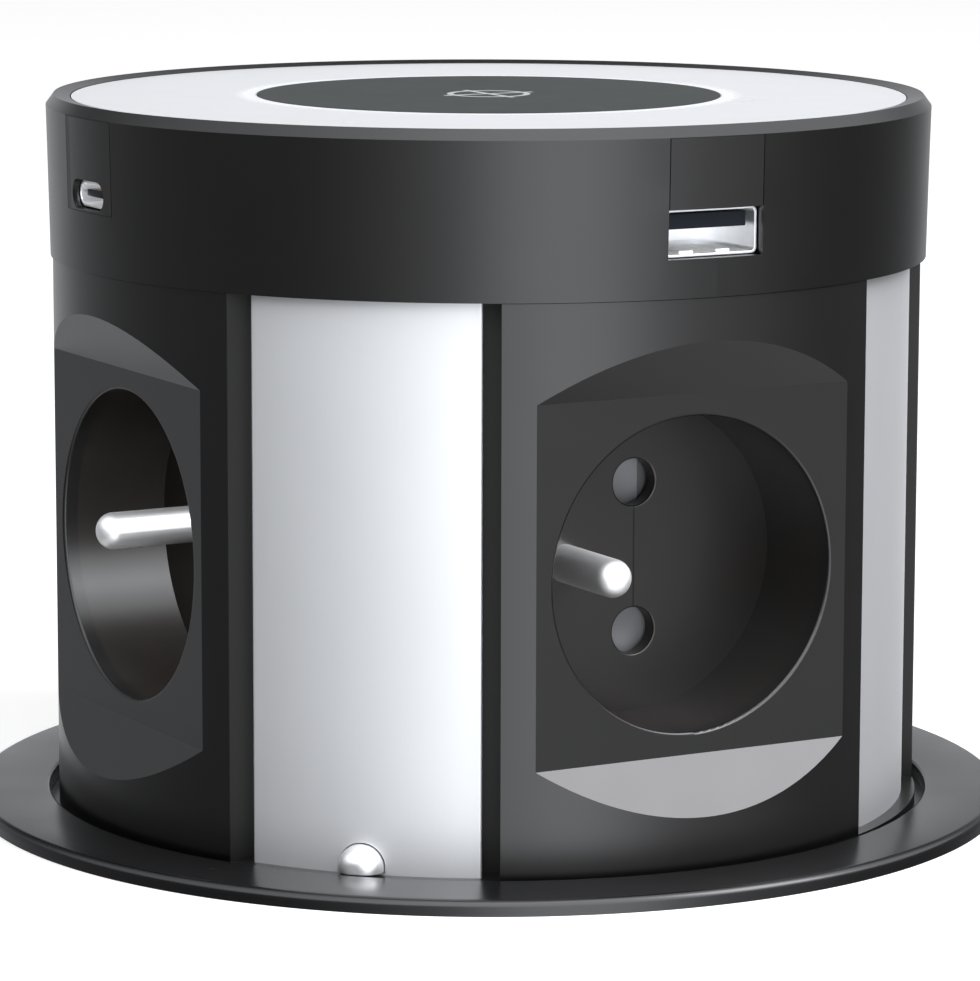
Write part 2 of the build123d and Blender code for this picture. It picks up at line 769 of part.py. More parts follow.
# The pillars' screws: one set down through the head's deck, one set up through the base's deck
with BuildPart() as pillar_screws:
    for head_plane, grip in (
        (Plane(origin=(0, 0, plate_top), z_dir=(0, 0, -1)), deck_plate_thickness),
        (Plane.XY.offset(deck_underside), deck_thickness),
    ):
        for radius, length in ((screw_radius, grip + screw_length), (screw_head_radius, -screw_head_height)):
            with BuildSketch(head_plane):
                add(at_channels(radius))
            extrude(amount=length)
        with BuildSketch(head_plane.offset(-screw_head_height)):
            for turn in pillar_turns.values():
                with Locations(Location((0, 0, 0), (0, 0, turn))):
                    with Locations((channel_distance, -channel_side), (channel_distance, channel_side)):
                        RegularPolygon(screw_socket_radius, 6)
        extrude(amount=screw_socket_depth, mode=Mode.SUBTRACT)
save(pillar_screws, "pillar_screws")


# The head shell: a slightly tapered wall, a chamfered rim, a bezel that dips to the disc, and its ledge
def head_cone(low, high):
    """The solid inside the head's tapered outer face, between two heights."""
    taper = (head_top_radius - head_bottom_radius) / (chamfer_foot - head_bottom)
    with BuildPart() as cone:
        with BuildSketch(Plane.XZ):
            with BuildLine():
                Polyline(
                    (0, low),
                    (head_bottom_radius + (low - head_bottom) * taper, low),
                    (head_bottom_radius + (high - head_bottom) * taper, high),
                    (0, high),
                    close=True,
                )
            make_face()
        revolve(axis=Axis.Z)
    return cone.part


insert_width = usb_a_width + 2 * insert_play
usb_a_slot_bottom = usb_a_bottom - part_gap
usb_c_slot_bottom = usb_c_bottom - insert_sill - part_gap
with BuildPart() as head_shell:
    with BuildSketch(Plane.XZ):
        with BuildLine():
            Polyline(
                (head_inner_radius, head_bottom),
                (head_bottom_radius, head_bottom),
                (head_top_radius, chamfer_foot),
                (head_top_radius - head_chamfer_run, raised_top),
                (bezel_radius, raised_top - bezel_dish),
                (bezel_radius, disc_seat),
                (ledge_radius, disc_seat),
                (ledge_radius, disc_seat - ledge_thickness),
                (head_inner_radius, disc_seat - ledge_thickness),
                close=True,
            )
        make_face()
    revolve(axis=Axis.Z)
    with BuildSketch(facing(bezel_radius, usb_a_slot_bottom)):
        Rectangle(insert_width, chamfer_foot - usb_a_slot_bottom, align=(Align.CENTER, Align.MIN))
    extrude(amount=overrun, mode=Mode.SUBTRACT)
    with BuildSketch(Plane(origin=(0, -bezel_radius, usb_c_slot_bottom),
                           x_dir=(1, 0, 0), z_dir=(0, -1, 0))):
        Rectangle(insert_width, chamfer_foot - usb_c_slot_bottom, align=(Align.CENTER, Align.MIN))
    extrude(amount=overrun, mode=Mode.SUBTRACT)
save(head_shell, "head_shell")

# The port inserts fill the slots above and round the ports, flush with the head
insert_back = bezel_radius + part_gap
insert_half_width = insert_width / 2 - insert_seam
usb_a_insert_cone = head_cone(usb_a_centre + usb_a_height / 2 + part_gap, chamfer_foot - fit_gap)
usb_c_insert_cone = head_cone(usb_c_slot_bottom + fit_gap, chamfer_foot - fit_gap)
with BuildPart() as usb_a_insert:
    add(usb_a_insert_cone)
    with BuildSketch(facing(insert_back, usb_a_slot_bottom)):
        Rectangle(2 * insert_half_width, 2 * head_height, align=(Align.CENTER, Align.MIN))
    extrude(amount=overrun, mode=Mode.INTERSECT)
save(usb_a_insert, "usb_a_insert")

with BuildPart() as usb_c_insert:
    add(usb_c_insert_cone)
    with BuildSketch(facing(insert_back, usb_c_slot_bottom)):
        Rectangle(2 * insert_half_width, 2 * head_height, align=(Align.CENTER, Align.MIN))
    extrude(amount=overrun, mode=Mode.INTERSECT)
    with BuildSketch(facing(insert_back, usb_c_centre)):
        SlotOverall(usb_c_width + 2 * slide_gap, usb_c_height + 2 * slide_gap)
    extrude(amount=overrun, mode=Mode.SUBTRACT)
save_turned(usb_c_insert, "usb_c_insert", side_turns["front"])

# The receptacles: a folded metal shell open to the front, with a tongue inside
usb_a_front = head_bottom_radius - usb_a_setback
usb_c_front = head_bottom_radius - usb_c_setback
usb_tongue_top = usb_a_centre + usb_a_height / 2 - 2 * usb_wall
with BuildPart() as usb_a_port:
    with BuildSketch(facing(usb_a_front - usb_a_length, usb_a_centre)):
        Rectangle(usb_a_width, usb_a_height)
    extrude(amount=usb_a_length)
    with BuildSketch(facing(usb_a_front - usb_a_length + usb_wall, usb_a_centre)):
        Rectangle(usb_a_width - 2 * usb_wall, usb_a_height - 2 * usb_wall)
    extrude(amount=usb_a_length, mode=Mode.SUBTRACT)
    with BuildSketch(facing(usb_a_front - usb_a_length + usb_wall, usb_tongue_top)):
        Rectangle(usb_a_width - 2 * usb_tongue_margin, usb_tongue_thickness, align=(Align.CENTER, Align.MAX))
    extrude(amount=usb_a_length - usb_wall - usb_tongue_setback)
save(usb_a_port, "usb_a_port")

with BuildPart() as usb_c_port:
    with BuildSketch(facing(usb_c_front - usb_c_length, usb_c_centre)):
        SlotOverall(usb_c_width, usb_c_height)
    extrude(amount=usb_c_length)
    with BuildSketch(facing(usb_c_front - usb_c_length + usb_wall, usb_c_centre)):
        SlotOverall(usb_c_width - 2 * usb_wall, usb_c_height - 2 * usb_wall)
    extrude(amount=usb_c_length, mode=Mode.SUBTRACT)
    with BuildSketch(facing(usb_c_front - usb_c_length + usb_wall, usb_c_centre)):
        Rectangle(usb_c_width - 2 * usb_c_tongue_margin, usb_c_tongue_thickness)
    extrude(amount=usb_c_length - usb_wall - usb_c_tongue_setback)
save_turned(usb_c_port, "usb_c_port", side_turns["front"])

# The boards under the ports
with BuildPart() as usb_boards:
    with BuildSketch(Plane.XY.offset(usb_a_board_bottom)):
        with Locations((usb_board_front, 0)):
            Rectangle(usb_board_length, usb_board_width, align=(Align.MAX, Align.CENTER))
    extrude(amount=board_thickness)
    with BuildSketch(Plane.XY.offset(usb_c_board_bottom)):
        with Locations((0, -usb_board_front)):
            Rectangle(usb_board_width, usb_board_length, align=(Align.CENTER, Align.MIN))
    extrude(amount=board_thickness)
save(usb_boards, "usb_boards")

# The top: white disc with a pocket, the glowing ring, the charging pad and what is under them
disc_top = disc_seat + disc_thickness
pocket_radius = pad_radius + light_ring_width + 3 * part_gap
pocket_floor = disc_top - pad_depth
with BuildPart() as top_disc:
    with BuildSketch(Plane.XY.offset(disc_seat)):
        Circle(bezel_radius - disc_play)
    extrude(amount=disc_thickness)
    with BuildSketch(Plane.XY.offset(pocket_floor)):
        Circle(pocket_radius)
    extrude(amount=pad_depth, mode=Mode.SUBTRACT)
save(top_disc, "top_disc")

with BuildPart() as light_ring:
    with BuildSketch(Plane.XY.offset(pocket_floor)):
        Circle(pocket_radius - part_gap)
        Circle(pad_radius + part_gap, mode=Mode.SUBTRACT)
    extrude(amount=pad_depth)
save(light_ring, "light_ring")

with BuildPart() as charge_pad:
    with BuildSketch(Plane.XY.offset(pocket_floor)):
        Circle(pad_radius)
    extrude(amount=pad_depth + pad_proud)
save(charge_pad, "charge_pad")

with BuildPart() as charge_coil:
    with BuildSketch(Plane.XY.offset(ferrite_top)):
        Circle(coil_radius)
        Circle(coil_bore_radius, mode=Mode.SUBTRACT)
    extrude(amount=coil_thickness)
save(charge_coil, "charge_coil")

with BuildPart() as ferrite:
    with BuildSketch(Plane.XY.offset(charger_board_top)):
        Circle(ferrite_radius)
    extrude(amount=ferrite_thickness)
save(ferrite, "ferrite")

with BuildPart() as charger_board:
    with BuildSketch(Plane.XY.offset(charger_board_bottom)):
        Circle(charger_board_radius)
    extrude(amount=board_thickness)
save(charger_board, "charger_board")
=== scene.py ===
"""The looks of a pop up desk socket: a round tower raised through a desk, with sockets on its sides."""

import json
from math import cos, pi, radians, sin, sqrt

import bmesh
import bpy
from mathutils import Matrix, Vector


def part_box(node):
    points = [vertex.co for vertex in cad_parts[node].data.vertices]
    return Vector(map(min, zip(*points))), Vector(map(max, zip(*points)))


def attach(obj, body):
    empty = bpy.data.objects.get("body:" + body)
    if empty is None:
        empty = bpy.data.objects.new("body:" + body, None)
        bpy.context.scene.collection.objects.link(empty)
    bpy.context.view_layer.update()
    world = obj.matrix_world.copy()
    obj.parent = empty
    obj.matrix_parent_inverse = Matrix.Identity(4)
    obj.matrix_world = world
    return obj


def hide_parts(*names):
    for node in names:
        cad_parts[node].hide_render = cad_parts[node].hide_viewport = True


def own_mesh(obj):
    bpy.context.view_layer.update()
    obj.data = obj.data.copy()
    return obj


MM = 0.001
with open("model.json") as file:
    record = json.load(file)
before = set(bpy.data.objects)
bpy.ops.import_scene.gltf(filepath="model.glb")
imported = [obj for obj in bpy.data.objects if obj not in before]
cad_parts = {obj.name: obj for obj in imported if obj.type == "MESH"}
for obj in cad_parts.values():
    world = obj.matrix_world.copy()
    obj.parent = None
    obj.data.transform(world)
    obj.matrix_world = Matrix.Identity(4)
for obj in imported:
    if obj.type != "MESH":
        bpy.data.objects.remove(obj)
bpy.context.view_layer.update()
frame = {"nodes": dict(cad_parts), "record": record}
NODES = frame["nodes"]
bpy.context.scene.view_settings.view_transform = "Standard"

# The photograph's camera: it stands at a level distance from the tower's axis, above the desk
CAMERA_TURN = radians(-28.842)
CAMERA_DISTANCE = 621.3 * MM
CAMERA_HEIGHT = 143.0 * MM
CAMERA_PITCH = radians(9.361)
CAMERA_YAW = radians(0.028)
CAMERA_ROLL = radians(0.136)
SENSOR_WIDTH = 36.0
LENS = 174.06
CLIP_START, CLIP_END = 0.01, 50.0


def link_new(name, data):
    """A new object of the scene, at the origin."""
    thing = bpy.data.objects.new(name, data)
    bpy.context.scene.collection.objects.link(thing)
    return thing


def join_loops(shape, first, second):
    """Faces between two closed loops that have the same number of points."""
    for step in range(len(first)):
        after = (step + 1) % len(first)
        shape.faces.new((first[step], second[step], second[after], first[after]))


def made_object(name, shape):
    """An object of a bmesh shape, which is freed."""
    mesh = bpy.data.meshes.new(name)
    shape.to_mesh(mesh)
    shape.free()
    return link_new(name, mesh)


def wire(tree, *pairs):
    """Link each output to its input."""
    for output, socket in pairs:
        tree.links.new(output, socket)


def cleared_tree(thing):
    """The node tree of a material or a world, emptied."""
    thing.use_nodes = True
    thing.node_tree.nodes.clear()
    return thing.node_tree


def math_node(tree, operation, first, second=None, clamp=False):
    """A Math node whose inputs are sockets or numbers."""
    node = tree.nodes.new("ShaderNodeMath")
    node.operation = operation
    node.use_clamp = clamp
    for slot, value in enumerate((first, second)):
        if isinstance(value, (int, float)):
            node.inputs[slot].default_value = value
        elif value is not None:
            tree.links.new(value, node.inputs[slot])
    return node.outputs["Value"]


def camera_side(turn, rise=0.0):
    """A direction by its turn to the right of the camera's side and its rise, both in degrees."""
    around = CAMERA_TURN + radians(turn)
    return Vector((cos(around) * cos(radians(rise)), sin(around) * cos(radians(rise)), sin(radians(rise))))


def add_camera():
    """The photograph's camera, looking at the axis and a little down."""
    data = bpy.data.cameras.new("camera")
    data.sensor_width = SENSOR_WIDTH
    data.lens = LENS
    data.clip_start, data.clip_end = CLIP_START, CLIP_END
    camera = link_new("camera", data)
    inward = CAMERA_TURN + pi - CAMERA_YAW
    forward = Vector((cos(inward) * cos(CAMERA_PITCH), sin(inward) * cos(CAMERA_PITCH), -sin(CAMERA_PITCH)))
    turned = forward.to_track_quat("-Z", "Y").to_matrix() @ Matrix.Rotation(CAMERA_ROLL, 3, "Z")
    place = camera_side(0) * CAMERA_DISTANCE + Vector((0, 0, CAMERA_HEIGHT))
    camera.matrix_world = Matrix.Translation(place) @ turned.to_4x4()
    bpy.context.scene.camera = camera


add_camera()

# The studio: a white desk top with a hole, a pale world, softboxes, and two bands of light cards
DESK_HOLE_RADIUS = 63.0 * MM
DESK_RADIUS = 3.0
DESK_COLOUR = (0.90, 0.90, 0.90, 1)
DESK_GLOW = 0.65
DESK_SIDES = 96
WORLD_AMBIENT = 0.36
# The bands stand round the desk, upright below and sloping in above: each edge's radius and height
LOW_BAND = ((1.5, -1.2), (1.5, 0.48))
HIGH_BAND = ((1.5, 0.48), (0.40, 1.45))
BAND_SIDES = 180
# Each light card: its turn from the camera's side to the right, in degrees, and its brightness
LOW_CARDS = (
    (-180, 0.98), (-150, 0.72), (-130, 0.42), (-106, 0.26), (-78, 0.19), (-45, 0.18), (-30, 0.34),
    (-20, 0.66), (-9, 1.00), (0, 2.2), (8, 3.2), (20, 3.5), (34, 2.7), (45, 1.4), (55, 0.80), (68, 0.66),
    (80, 0.32), (95, 0.16), (120, 0.14), (142, 0.28), (160, 0.72), (180, 0.98),
)
HIGH_CARDS = (
    (-180, 0.05), (-150, 0.05), (-130, 0.25), (-105, 1.1), (-80, 1.7), (-50, 2.6), (-25, 3.6), (0, 4.4),
    (30, 4.4), (60, 3.6), (90, 2.8), (125, 1.5), (150, 0.25), (180, 0.05),
)
CARD_TINT = (0.97, 0.99, 1.03)


def light_path_mask(tree):
    """One for camera, glossy and transmission rays and nought for the rest."""
    path = tree.nodes.new("ShaderNodeLightPath").outputs
    seen = math_node(tree, "MAXIMUM", path["Is Camera Ray"], path["Is Glossy Ray"])
    return math_node(tree, "MAXIMUM", seen, path["Is Transmission Ray"])


def add_desk():
    """The desk top: a pale disc at the height that the trim ring rests on, with the barrel's hole."""
    shape = bmesh.new()
    turns = [2 * pi * step / DESK_SIDES for step in range(DESK_SIDES)]
    join_loops(shape, *([shape.verts.new((radius * cos(turn), radius * sin(turn), 0)) for turn in turns]
                        for radius in (DESK_HOLE_RADIUS, DESK_RADIUS)))
    desk = made_object("desk_top", shape)
    paint = bpy.data.materials.new("desk_white")
    tree = cleared_tree(paint)
    matt = tree.nodes.new("ShaderNodeBsdfDiffuse")
    matt.inputs["Color"].default_value = DESK_COLOUR
    glow = tree.nodes.new("ShaderNodeEmission")
    both = tree.nodes.new("ShaderNodeAddShader")
    out = tree.nodes.new("ShaderNodeOutputMaterial")
    wire(tree, (math_node(tree, "MULTIPLY", light_path_mask(tree), DESK_GLOW), glow.inputs["Strength"]),
         (matt.outputs["BSDF"], both.inputs[0]), (glow.outputs["Emission"], both.inputs[1]),
         (both.outputs["Shader"], out.inputs["Surface"]))
    desk.data.materials.append(paint)
    desk.visible_glossy = False


def add_light_band(name, bottom, top, cards):
    """A band round the desk that only reflections see; its brightness follows its light cards."""
    shape = bmesh.new()
    for step in range(BAND_SIDES):
        turns = [2 * pi * edge / BAND_SIDES for edge in (step, step + 1)]
        shape.faces.new([
            shape.verts.new((radius * cos(turns[side]), radius * sin(turns[side]), height))
            for side, (radius, height) in ((0, bottom), (1, bottom), (1, top), (0, top))
        ])
    band = made_object(name, shape)
    paint = bpy.data.materials.new(f"{name}_cards")
    tree = cleared_tree(paint)
    coordinates = tree.nodes.new("ShaderNodeTexCoord")
    turn = tree.nodes.new("ShaderNodeMapping")
    turn.inputs["Rotation"].default_value = (0, 0, -CAMERA_TURN)
    gradient = tree.nodes.new("ShaderNodeTexGradient")
    gradient.gradient_type = "RADIAL"
    curve = tree.nodes.new("ShaderNodeFloatCurve")
    glow = tree.nodes.new("ShaderNodeEmission")
    glow.inputs["Color"].default_value = (*CARD_TINT, 1)
    out = tree.nodes.new("ShaderNodeOutputMaterial")
    brightest = max(card[1] for card in cards)
    spots = [(0.5 + around / 360, brightness / brightest) for around, brightness in cards]
    points = curve.mapping.curves[0].points
    points[0].location, points[len(points) - 1].location = spots[0], spots[-1]
    for spot in spots[1:-1]:
        points.new(*spot)
    curve.mapping.update()
    wire(tree, (coordinates.outputs["Object"], turn.inputs["Vector"]),
         (turn.outputs["Vector"], gradient.inputs["Vector"]),
         (gradient.outputs["Fac"], curve.inputs["Value"]),
         (math_node(tree, "MULTIPLY", curve.outputs["Value"], brightest), glow.inputs["Strength"]),
         (glow.outputs["Emission"], out.inputs["Surface"]))
    paint.cycles.emission_sampling = "NONE"
    band.data.materials.append(paint)
    band.visible_camera = band.visible_diffuse = band.visible_shadow = band.visible_transmission = False


def add_world():
    """White to the camera and in reflections, and a plain soft level for everything else."""
    world = bpy.data.worlds.new("studio")
    bpy.context.scene.world = world
    tree = cleared_tree(world)
    level = tree.nodes.new("ShaderNodeMapRange")
    level.inputs["To Min"].default_value = WORLD_AMBIENT
    level.inputs["To Max"].default_value = 1.0
    back = tree.nodes.new("ShaderNodeBackground")
    out = tree.nodes.new("ShaderNodeOutputWorld")
    wire(tree, (light_path_mask(tree), level.inputs["Value"]),
         (level.outputs["Result"], back.inputs["Strength"]),
         (back.outputs["Background"], out.inputs["Surface"]))


# Each softbox: its turn and rise as seen from the camera's side, its distance, width, height and power
SOFTBOXES = {
    "key_softbox": (72, 42, 1.20, 0.62, 0.62, 10.9),
    "top_softbox": (30, 72, 1.30, 0.95, 0.95, 3.2),
}
# Softboxes that light only the pieces named, which lie too deep for the others, and that nothing shades
LINKED_SOFTBOXES = {
    "recess_softbox": ((60, 35, 1.20, 0.40, 0.60, 22.0), (
        "earth_pin_front", "earth_pin_right", "earth_pin_back", "earth_pin_left", "cup_front", "cup_left",
        "panel_front")),
    "port_c_softbox": ((-12, 34, 1.20, 0.70, 0.70, 28.0), ("usb_c_shell",)),
    "port_a_softbox": ((-12, 34, 1.20, 0.70, 0.70, 11.0), ("usb_a_shell", "usb_a_tabs")),
}
LINKED_TINT = (0.95, 0.97, 1.0)
KEY_TINT = (1.0, 0.98, 1.03)
# What the first two leave to the light cards
OUTSIDE_KEY = ("head_shell",)
# What every softbox faces
AIM = Vector((0, 0, 45 * MM))


def add_softbox(name, turn, rise, distance, width, height, power):
    """A soft rectangular lamp that faces the tower's middle."""
    data = bpy.data.lights.new(name, "AREA")
    data.shape = "RECTANGLE"
    data.size = width
    data.size_y = height
    data.energy = power
    lamp = link_new(name, data)
    way = camera_side(turn, rise)
    lamp.location = AIM + way * distance
    lamp.rotation_euler = way.to_track_quat("Z", "Y").to_euler()
    return lamp


def light_only(lamp, names, state):
    """Link a lamp to the named pieces, or to all but them."""
    listed = bpy.data.collections.new(f"{lamp.name}_pieces")
    for name in names:
        listed.objects.link(bpy.data.objects[name])
    lamp.light_linking.receiver_collection = listed
    for entry in listed.collection_objects:
        entry.light_linking.link_state = state


def add_softboxes():
    """The softboxes, and the linked ones that cast no shadow."""
    for name, values in SOFTBOXES.items():
        lamp = add_softbox(name, *values)
        lamp.data.color = KEY_TINT
        light_only(lamp, OUTSIDE_KEY, "EXCLUDE")
    unseen = bpy.data.collections.new("no_blockers")
    unseen.objects.link(NODES["gland_nut"])
    for name, (values, pieces) in LINKED_SOFTBOXES.items():
        lamp = add_softbox(name, *values)
        lamp.data.color = LINKED_TINT
        light_only(lamp, pieces, "INCLUDE")
        lamp.light_linking.blocker_collection = unseen


add_desk()
add_light_band("low_band", *LOW_BAND, LOW_CARDS)
add_light_band("high_band", *HIGH_BAND, HIGH_CARDS)
add_world()


# The effects that several finishes share, as shader node groups that read the Object coordinates
def new_group(name, inputs, outputs):
    """An empty shader node group: its inputs with their usual values, and its outputs with their kinds."""
    tree = bpy.data.node_groups.new(name, "ShaderNodeTree")
    for socket, value in inputs.items():
        kind = {3: "Vector", 4: "Color"}[len(value)] if isinstance(value, tuple) else "Float"
        made = tree.interface.new_socket(socket, in_out="INPUT", socket_type=f"NodeSocket{kind}")
        made.default_value = value
    for socket, kind in outputs.items():
        tree.interface.new_socket(socket, in_out="OUTPUT", socket_type=f"NodeSocket{kind}")
    return tree, tree.nodes.new("NodeGroupInput").outputs, tree.nodes.new("NodeGroupOutput").inputs


def object_place(tree):
    """The Object coordinates of a surface."""
    return tree.nodes.new("ShaderNodeTexCoord").outputs["Object"]


def split_place(tree):
    """The three Object coordinates of a surface, one by one."""
    split = tree.nodes.new("ShaderNodeSeparateXYZ")
    tree.links.new(object_place(tree), split.inputs["Vector"])
    return split.outputs["X"], split.outputs["Y"], split.outputs["Z"]


def mixed(tree, kind, mask, first, second):
    """The first value where the mask is nought and the second, a socket or a constant, where it is one."""
    mix = tree.nodes.new("ShaderNodeMix")
    mix.data_type = kind
    sockets = {socket.name: socket for socket in mix.inputs if socket.enabled}
    wire(tree, (mask, sockets["Factor"]), (first, sockets["A"]))
    if isinstance(second, (tuple, float)):
        sockets["B"].default_value = second
    else:
        tree.links.new(second, sockets["B"])
    return next(socket for socket in mix.outputs if socket.enabled)


def smooth_range(tree, value, start, end, first, last):
    """A smooth step from the first level to the last as the value goes from start to end."""
    node = tree.nodes.new("ShaderNodeMapRange")
    node.interpolation_type = "SMOOTHSTEP"
    for name, number in (("From Min", start), ("From Max", end), ("To Min", first), ("To Max", last)):
        node.inputs[name].default_value = number
    tree.links.new(value, node.inputs["Value"])
    return node.outputs["Result"]


def noise_node(tree, vector, scale, detail, rough=0.5):
    """A noise texture on the given coordinates."""
    node = tree.nodes.new("ShaderNodeTexNoise")
    node.inputs["Detail"].default_value = detail
    node.inputs["Roughness"].default_value = rough
    tree.links.new(vector, node.inputs["Vector"])
    if isinstance(scale, float):
        node.inputs["Scale"].default_value = scale
    else:
        tree.links.new(scale, node.inputs["Scale"])
    return node.outputs["Fac"]


def bump_node(tree, height, depth):
    """A bump whose depth in metres is a socket."""
    node = tree.nodes.new("ShaderNodeBump")
    wire(tree, (height, node.inputs["Height"]), (depth, node.inputs["Distance"]))
    return node.outputs["Normal"]


def spread_node(tree, mask, middle, spread):
    """The middle value, moved up and down by the spread as the mask goes from nought to one."""
    centred = math_node(tree, "MULTIPLY", math_node(tree, "SUBTRACT", mask, 0.5), 2.0)
    return math_node(tree, "ADD", math_node(tree, "MULTIPLY", centred, spread), middle)


def moulded_grain_group():
    """The eroded grain of a mould and the faint unevenness of a moulded plastic's shine."""
    tree, given, out = new_group("moulded_grain", {
        "Grain Size": 0.2 * MM, "Grain Depth": 0.004 * MM, "Patch Size": 9.0 * MM, "Roughness": 0.35,
        "Roughness Spread": 0.03,
    }, {"Roughness": "Float", "Normal": "Vector"})
    place = object_place(tree)
    grain = noise_node(tree, place, math_node(tree, "DIVIDE", 1.0, given["Grain Size"]), detail=1.0)
    patches = noise_node(tree, place, math_node(tree, "DIVIDE", 1.0, given["Patch Size"]), detail=3.0)
    rough = spread_node(tree, patches, given["Roughness"], given["Roughness Spread"])
    wire(tree, (bump_node(tree, grain, given["Grain Depth"]), out["Normal"]), (rough, out["Roughness"]))
    return tree


def drawn_lines_group():
    """The fine lines that brushing or drawing leaves along a metal piece."""
    tree, given, out = new_group("drawn_lines", {
        "Line Ways": (5000.0, 5000.0, 40.0), "Line Depth": 0.002 * MM, "Roughness": 0.4,
        "Roughness Spread": 0.05,
    }, {"Roughness": "Float", "Normal": "Vector"})
    stretch = tree.nodes.new("ShaderNodeVectorMath")
    stretch.operation = "MULTIPLY"
    wire(tree, (object_place(tree), stretch.inputs[0]), (given["Line Ways"], stretch.inputs[1]))
    lines = noise_node(tree, stretch.outputs["Vector"], 1.0, detail=3.0, rough=0.6)
    rough = spread_node(tree, lines, given["Roughness"], given["Roughness Spread"])
    wire(tree, (bump_node(tree, lines, given["Line Depth"]), out["Normal"]), (rough, out["Roughness"]))
    return tree


def two_tone_group():
    """Two tones of a colour in soft patches, for a surface that is never quite even."""
    tree, given, out = new_group("two_tones", {
        "Tone": (0.5, 0.5, 0.5, 1), "Other Tone": (0.6, 0.6, 0.6, 1), "Patch Size": 6.0 * MM,
        "Contrast": 1.6,
    }, {"Color": "Color"})
    scale = math_node(tree, "DIVIDE", 1.0, given["Patch Size"])
    patches = noise_node(tree, object_place(tree), scale, detail=4.0, rough=0.55)
    spread = math_node(tree, "MULTIPLY", math_node(tree, "SUBTRACT", patches, 0.5), given["Contrast"])
    mask = math_node(tree, "ADD", spread, 0.5, clamp=True)
    tree.links.new(mixed(tree, "RGBA", mask, given["Tone"], given["Other Tone"]), out["Color"])
    return tree


def distance_across(tree, across, along):
    """How far a point is from the tower's axis."""
    squared = math_node(tree, "ADD", math_node(tree, "MULTIPLY", across, across),
                        math_node(tree, "MULTIPLY", along, along))
    return math_node(tree, "SQRT", squared)


def round_band_group():
    """A mask for a ring round the tower's axis, soft at its inner and outer edges."""
    tree, given, out = new_group("round_band", {
        "Inner Radius": 10.0 * MM, "Outer Radius": 11.0 * MM, "Inner Softness": 0.05 * MM,
        "Outer Softness": 0.05 * MM,
    }, {"Mask": "Float", "Across": "Float", "Along": "Float"})
    across, along, _ = split_place(tree)
    radius = distance_across(tree, across, along)
    past_inner = math_node(tree, "DIVIDE", math_node(tree, "SUBTRACT", radius, given["Inner Radius"]),
                           given["Inner Softness"], clamp=True)
    before_outer = math_node(tree, "DIVIDE", math_node(tree, "SUBTRACT", given["Outer Radius"], radius),
                             given["Outer Softness"], clamp=True)
    wire(tree, (math_node(tree, "MULTIPLY", past_inner, before_outer), out["Mask"]),
         (math_node(tree, "ABSOLUTE", across), out["Across"]),
         (math_node(tree, "ABSOLUTE", along), out["Along"]))
    return tree


def groove_group():
    """A mask for the grooves beside the pillars, and the way in which their rolled edges face."""
    tree, given, out = new_group("groove_edge", {"Outer Radius": 57.0 * MM, "Least Cosine": 0.9494},
                                 {"Mask": "Float", "Normal": "Vector", "Height": "Float"})
    across, along, height = split_place(tree)
    both = math_node(tree, "ADD", math_node(tree, "ABSOLUTE", across), math_node(tree, "ABSOLUTE", along))
    radius = distance_across(tree, across, along)
    near = math_node(tree, "GREATER_THAN", math_node(tree, "DIVIDE", both, radius),
                     math_node(tree, "MULTIPLY", given["Least Cosine"], sqrt(2)))
    inside = math_node(tree, "LESS_THAN", radius, given["Outer Radius"])
    facing = tree.nodes.new("ShaderNodeCombineXYZ")
    turned = tree.nodes.new("ShaderNodeVectorTransform")
    turned.vector_type, turned.convert_from, turned.convert_to = "NORMAL", "OBJECT", "WORLD"
    wire(tree, (height, out["Height"]), (math_node(tree, "MULTIPLY", near, inside), out["Mask"]),
         (math_node(tree, "SIGN", across), facing.inputs["X"]),
         (math_node(tree, "SIGN", along), facing.inputs["Y"]),
         (facing.outputs["Vector"], turned.inputs["Vector"]), (turned.outputs["Vector"], out["Normal"]))
    return tree


# How far above the desk the middles of the four sockets are
SOCKET_HEIGHT = 37.7 * MM


def socket_frame_group():
    """How far a point lies sideways and upwards from the middle of the socket that it belongs to."""
    tree, given, out = new_group("socket_frame", {"Middle Height": SOCKET_HEIGHT},
                                 {"Sideways": "Float", "Upwards": "Float"})
    across, along, height = split_place(tree)
    faces_across = math_node(tree, "GREATER_THAN", math_node(tree, "ABSOLUTE", across),
                             math_node(tree, "ABSOLUTE", along))
    faces_along = math_node(tree, "SUBTRACT", 1.0, faces_across)
    first = math_node(tree, "MULTIPLY", along, math_node(tree, "SIGN", across))
    second = math_node(tree, "MULTIPLY", across, math_node(tree, "SIGN", along))
    sideways = math_node(tree, "SUBTRACT", math_node(tree, "MULTIPLY", first, faces_across),
                         math_node(tree, "MULTIPLY", second, faces_along))
    upwards = math_node(tree, "SUBTRACT", height, given["Middle Height"])
    wire(tree, (sideways, out["Sideways"]), (upwards, out["Upwards"]))
    return tree


MOULDED_GRAIN = moulded_grain_group()
DRAWN_LINES = drawn_lines_group()
TWO_TONES = two_tone_group()
ROUND_BAND = round_band_group()
GROOVE_EDGE = groove_group()
SOCKET_FRAME = socket_frame_group()


def finish_parts(material):
    """A finish's node tree and the sockets of its Principled BSDF."""
    return material.node_tree, material.node_tree.nodes["Principled BSDF"].inputs


def new_finish(name, **sockets):
    """A material whose Principled BSDF has the given constant sockets."""
    material = bpy.data.materials.new(name)
    material.use_nodes = True
    tree, surface = finish_parts(material)
    for socket, value in sockets.items():
        surface[socket.replace("_", " ")].default_value = value
    return material, tree, surface


def place_group(tree, group, **values):
    """The outputs of a group node in a material, with its own values."""
    node = tree.nodes.new("ShaderNodeGroup")
    node.node_tree = group
    for socket, value in values.items():
        node.inputs[socket.replace("_", " ")].default_value = value
    return node.outputs


def colour(tone):
    """A tone, which may be one number for a plain grey, with its alpha."""
    return (*tone, 1) if isinstance(tone, tuple) else (tone, tone, tone, 1)


